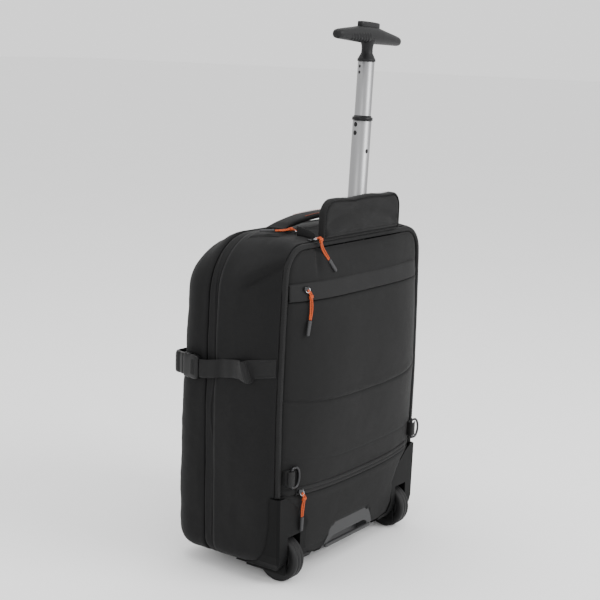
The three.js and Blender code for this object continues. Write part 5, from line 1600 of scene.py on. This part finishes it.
# Distance from the axle, width and depth of a spoke's sections
SPOKE = ((7.6, 6.4, 9.5), (10, 5.2, 8.4), (13, 4.8, 8.2), (15, 5.6, 9), (17, 7.4, 10.5))


def wheel(sign, label):
    """A tyre on a hub with a rim, a boss and five spokes, and the axle pin it turns on."""
    body = f"wheel_{label}"
    place = (sign * WHEEL[0], WHEEL[1], WHEEL[2])
    matrix = Matrix.Translation(place) @ Matrix.Rotation(math.pi / 2, 4, "Y")
    lathe(
        f"tread_{label}", TYRE_PROFILE, TYRE, matrix, sides=96, body=body, node=f"tyre_{label}"
    )
    lathe(f"hub_rim_{label}", RIM_PROFILE, HUB, matrix, body=body, node=f"hub_{label}")
    lathe(f"hub_boss_{label}", BOSS_PROFILE, HUB, matrix, sides=40, body=body)
    for k in range(5):
        angle = k * 2 * math.pi / 5 + 0.3
        c, s = math.cos(angle), math.sin(angle)
        rings = []
        for r, wide, deep in SPOKE:
            section = zip(*rounded(wide, deep, 3.5, 20))
            rings.append(placed(matrix, [(r * c - u * s, r * s + u * c, v) for u, v in section]))
        solid(f"hub_spoke_{label}_{k}", rings, HUB, body=body)
    lathe(
        f"axle_pin_{label}", PIN_PROFILE, AXLE, matrix, sides=32, loop=False,
        node=f"axle_{label}",
    )


for sign, label in SIDES:
    wheel(sign, label)

# Hard pieces whose CAD shape stays: softened edges and moulded materials


def soften(node, material, width, segments, angle):
    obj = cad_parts[node]
    for material_slot in obj.material_slots:
        material_slot.material = material
    flatten = obj.modifiers.new("flatten", "DECIMATE")
    flatten.decimate_type = "DISSOLVE"
    flatten.angle_limit = math.radians(1.5)
    bevel = obj.modifiers.new("edges", "BEVEL")
    bevel.width = width
    bevel.segments = segments
    bevel.limit_method = "ANGLE"
    bevel.angle_limit = math.radians(angle)
    bevel.harden_normals = False


soften("wheel_housing_left", HOUSING, 0.0024, 4, 12)
soften("wheel_housing_right", HOUSING, 0.0024, 4, 12)
soften("grab_handle", GRAB, 0.002, 4, 12)
soften("trolley_sleeve", TRIM, 0.0003, 2, 28)
soften("trolley_bezel", TRIM, 0.0003, 2, 28)

for sign, label in SIDES:
    foot_place = Matrix.Translation((sign * 60, 150, 0))
    lathe(
        f"foot_pad_{label}", FOOT_PROFILE, FOOT, foot_place, sides=48, loop=False,
        node=f"front_foot_{label}",
    )

# Zip sliders: a small metal body and the ring through which the cord loops. Its middle and the
# direction over it.
SLIDERS = {
    "hood": ((-103, 4.6, 463), (0, 0, 1)),
    "top": ((-86.5, 32, 466.1), (0, 0, 1)),
    "upper": ((-134.8, -13.6, 404.4), (0, -1, 0)),
    "lower": ((-132.1, -13.3, 129.5), (0, -1, 0)),
}
SLIDER_SECTIONS = [
    (-5.3, 3.4, 1.4), (-5, 4.8, 2.2), (-3.4, 6.4, 2.8), (-0.6, 5.2, 2.8), (0.8, 4.6, 2.6),
    (3, 5.6, 2.6), (4.8, 4.6, 2.0), (5.2, 3.2, 1.2),
]


def slider(name):
    middle, over = (np.array(v, dtype=float) for v in SLIDERS[name])
    along = np.array([1.0, 0, 0])
    axes = (middle, along, np.cross(over, along), over)
    loft(
        f"slider_body_{name}", SLIDER_SECTIONS, axes, DARK_STEEL, 3.2, 20,
        node=f"zip_slider_{name}",
    )
    out, route = PULLS[name]
    start = np.array(route[0], dtype=float)
    ahead = unit(start - middle)
    side = unit(np.cross(ahead, out))
    centre = start - ahead * 2.4
    path = [centre + side * 3.5 * math.cos(t) + ahead * 3.2 * math.sin(t) for t in turns(40)]
    tube(f"slider_ring_{name}", path, 0.72, STEEL, sides=10, loop=True)


for pull_name in PULLS:
    slider(pull_name)


def rail():
    """The lower rail of the grab handle, which closes its finger slot."""
    rows = []
    for t in np.linspace(-1, 1, 60):
        end = 1 - 0.5 * float(smooth((abs(t) - 0.96) / 0.04))
        section = zip(*rounded(5.4, 5.2, 3, 20))
        rows.append([(t * 58, -4.6 + u * end, 27.4 + v * end) for u, v in section])
    solid("grab_rail", rows, GRAB)


rail()

# Floor, world and lights


def stage():
    mesh = bpy.data.meshes.new("floor")
    corners = [(-30, -30, 0), (30, -30, 0), (30, 30, 0), (-30, 30, 0)]
    mesh.from_pydata(corners, [], [(0, 1, 2, 3)])
    n = Nodes("floor")
    tone = n.ramp(n.noise(n.coords(), 3, 2), 0.99, 1.01)
    n.finish(
        n.shade((0.93, 0.93, 0.93), tone), 0.75,
        n.bump(n.noise(n.coords(), 300, 2), 0.0001, 0.1),
    )
    mesh.materials.append(n.material)
    link(bpy.data.objects.new("floor", mesh))
    world = bpy.data.worlds.new("studio")
    world.use_nodes = True
    light = world.node_tree.nodes["Background"]
    light.inputs["Color"].default_value = (1, 1, 1, 1)
    light.inputs["Strength"].default_value = 1.35
    bpy.context.scene.world = world


def lamp(name, at, aim, size, power):
    data = bpy.data.lights.new(name, "AREA")
    data.shape = "RECTANGLE"
    data.size, data.size_y = size
    data.energy = power
    obj = link(bpy.data.objects.new(name, data))
    obj.location = at
    obj.rotation_euler = (Vector(aim) - Vector(at)).to_track_quat("-Z", "Y").to_euler()


stage()
lamp("key", (0.5, -2.4, 1.7), (0, 0, 0.3), (1.4, 1.6), 62)
lamp("side", (-2.6, -0.6, 1.1), (0, 0, 0.3), (0.9, 1.8), 14)
lamp("top", (-0.2, 0.4, 2.6), (0, 0, 0.4), (1.6, 1.6), 24)
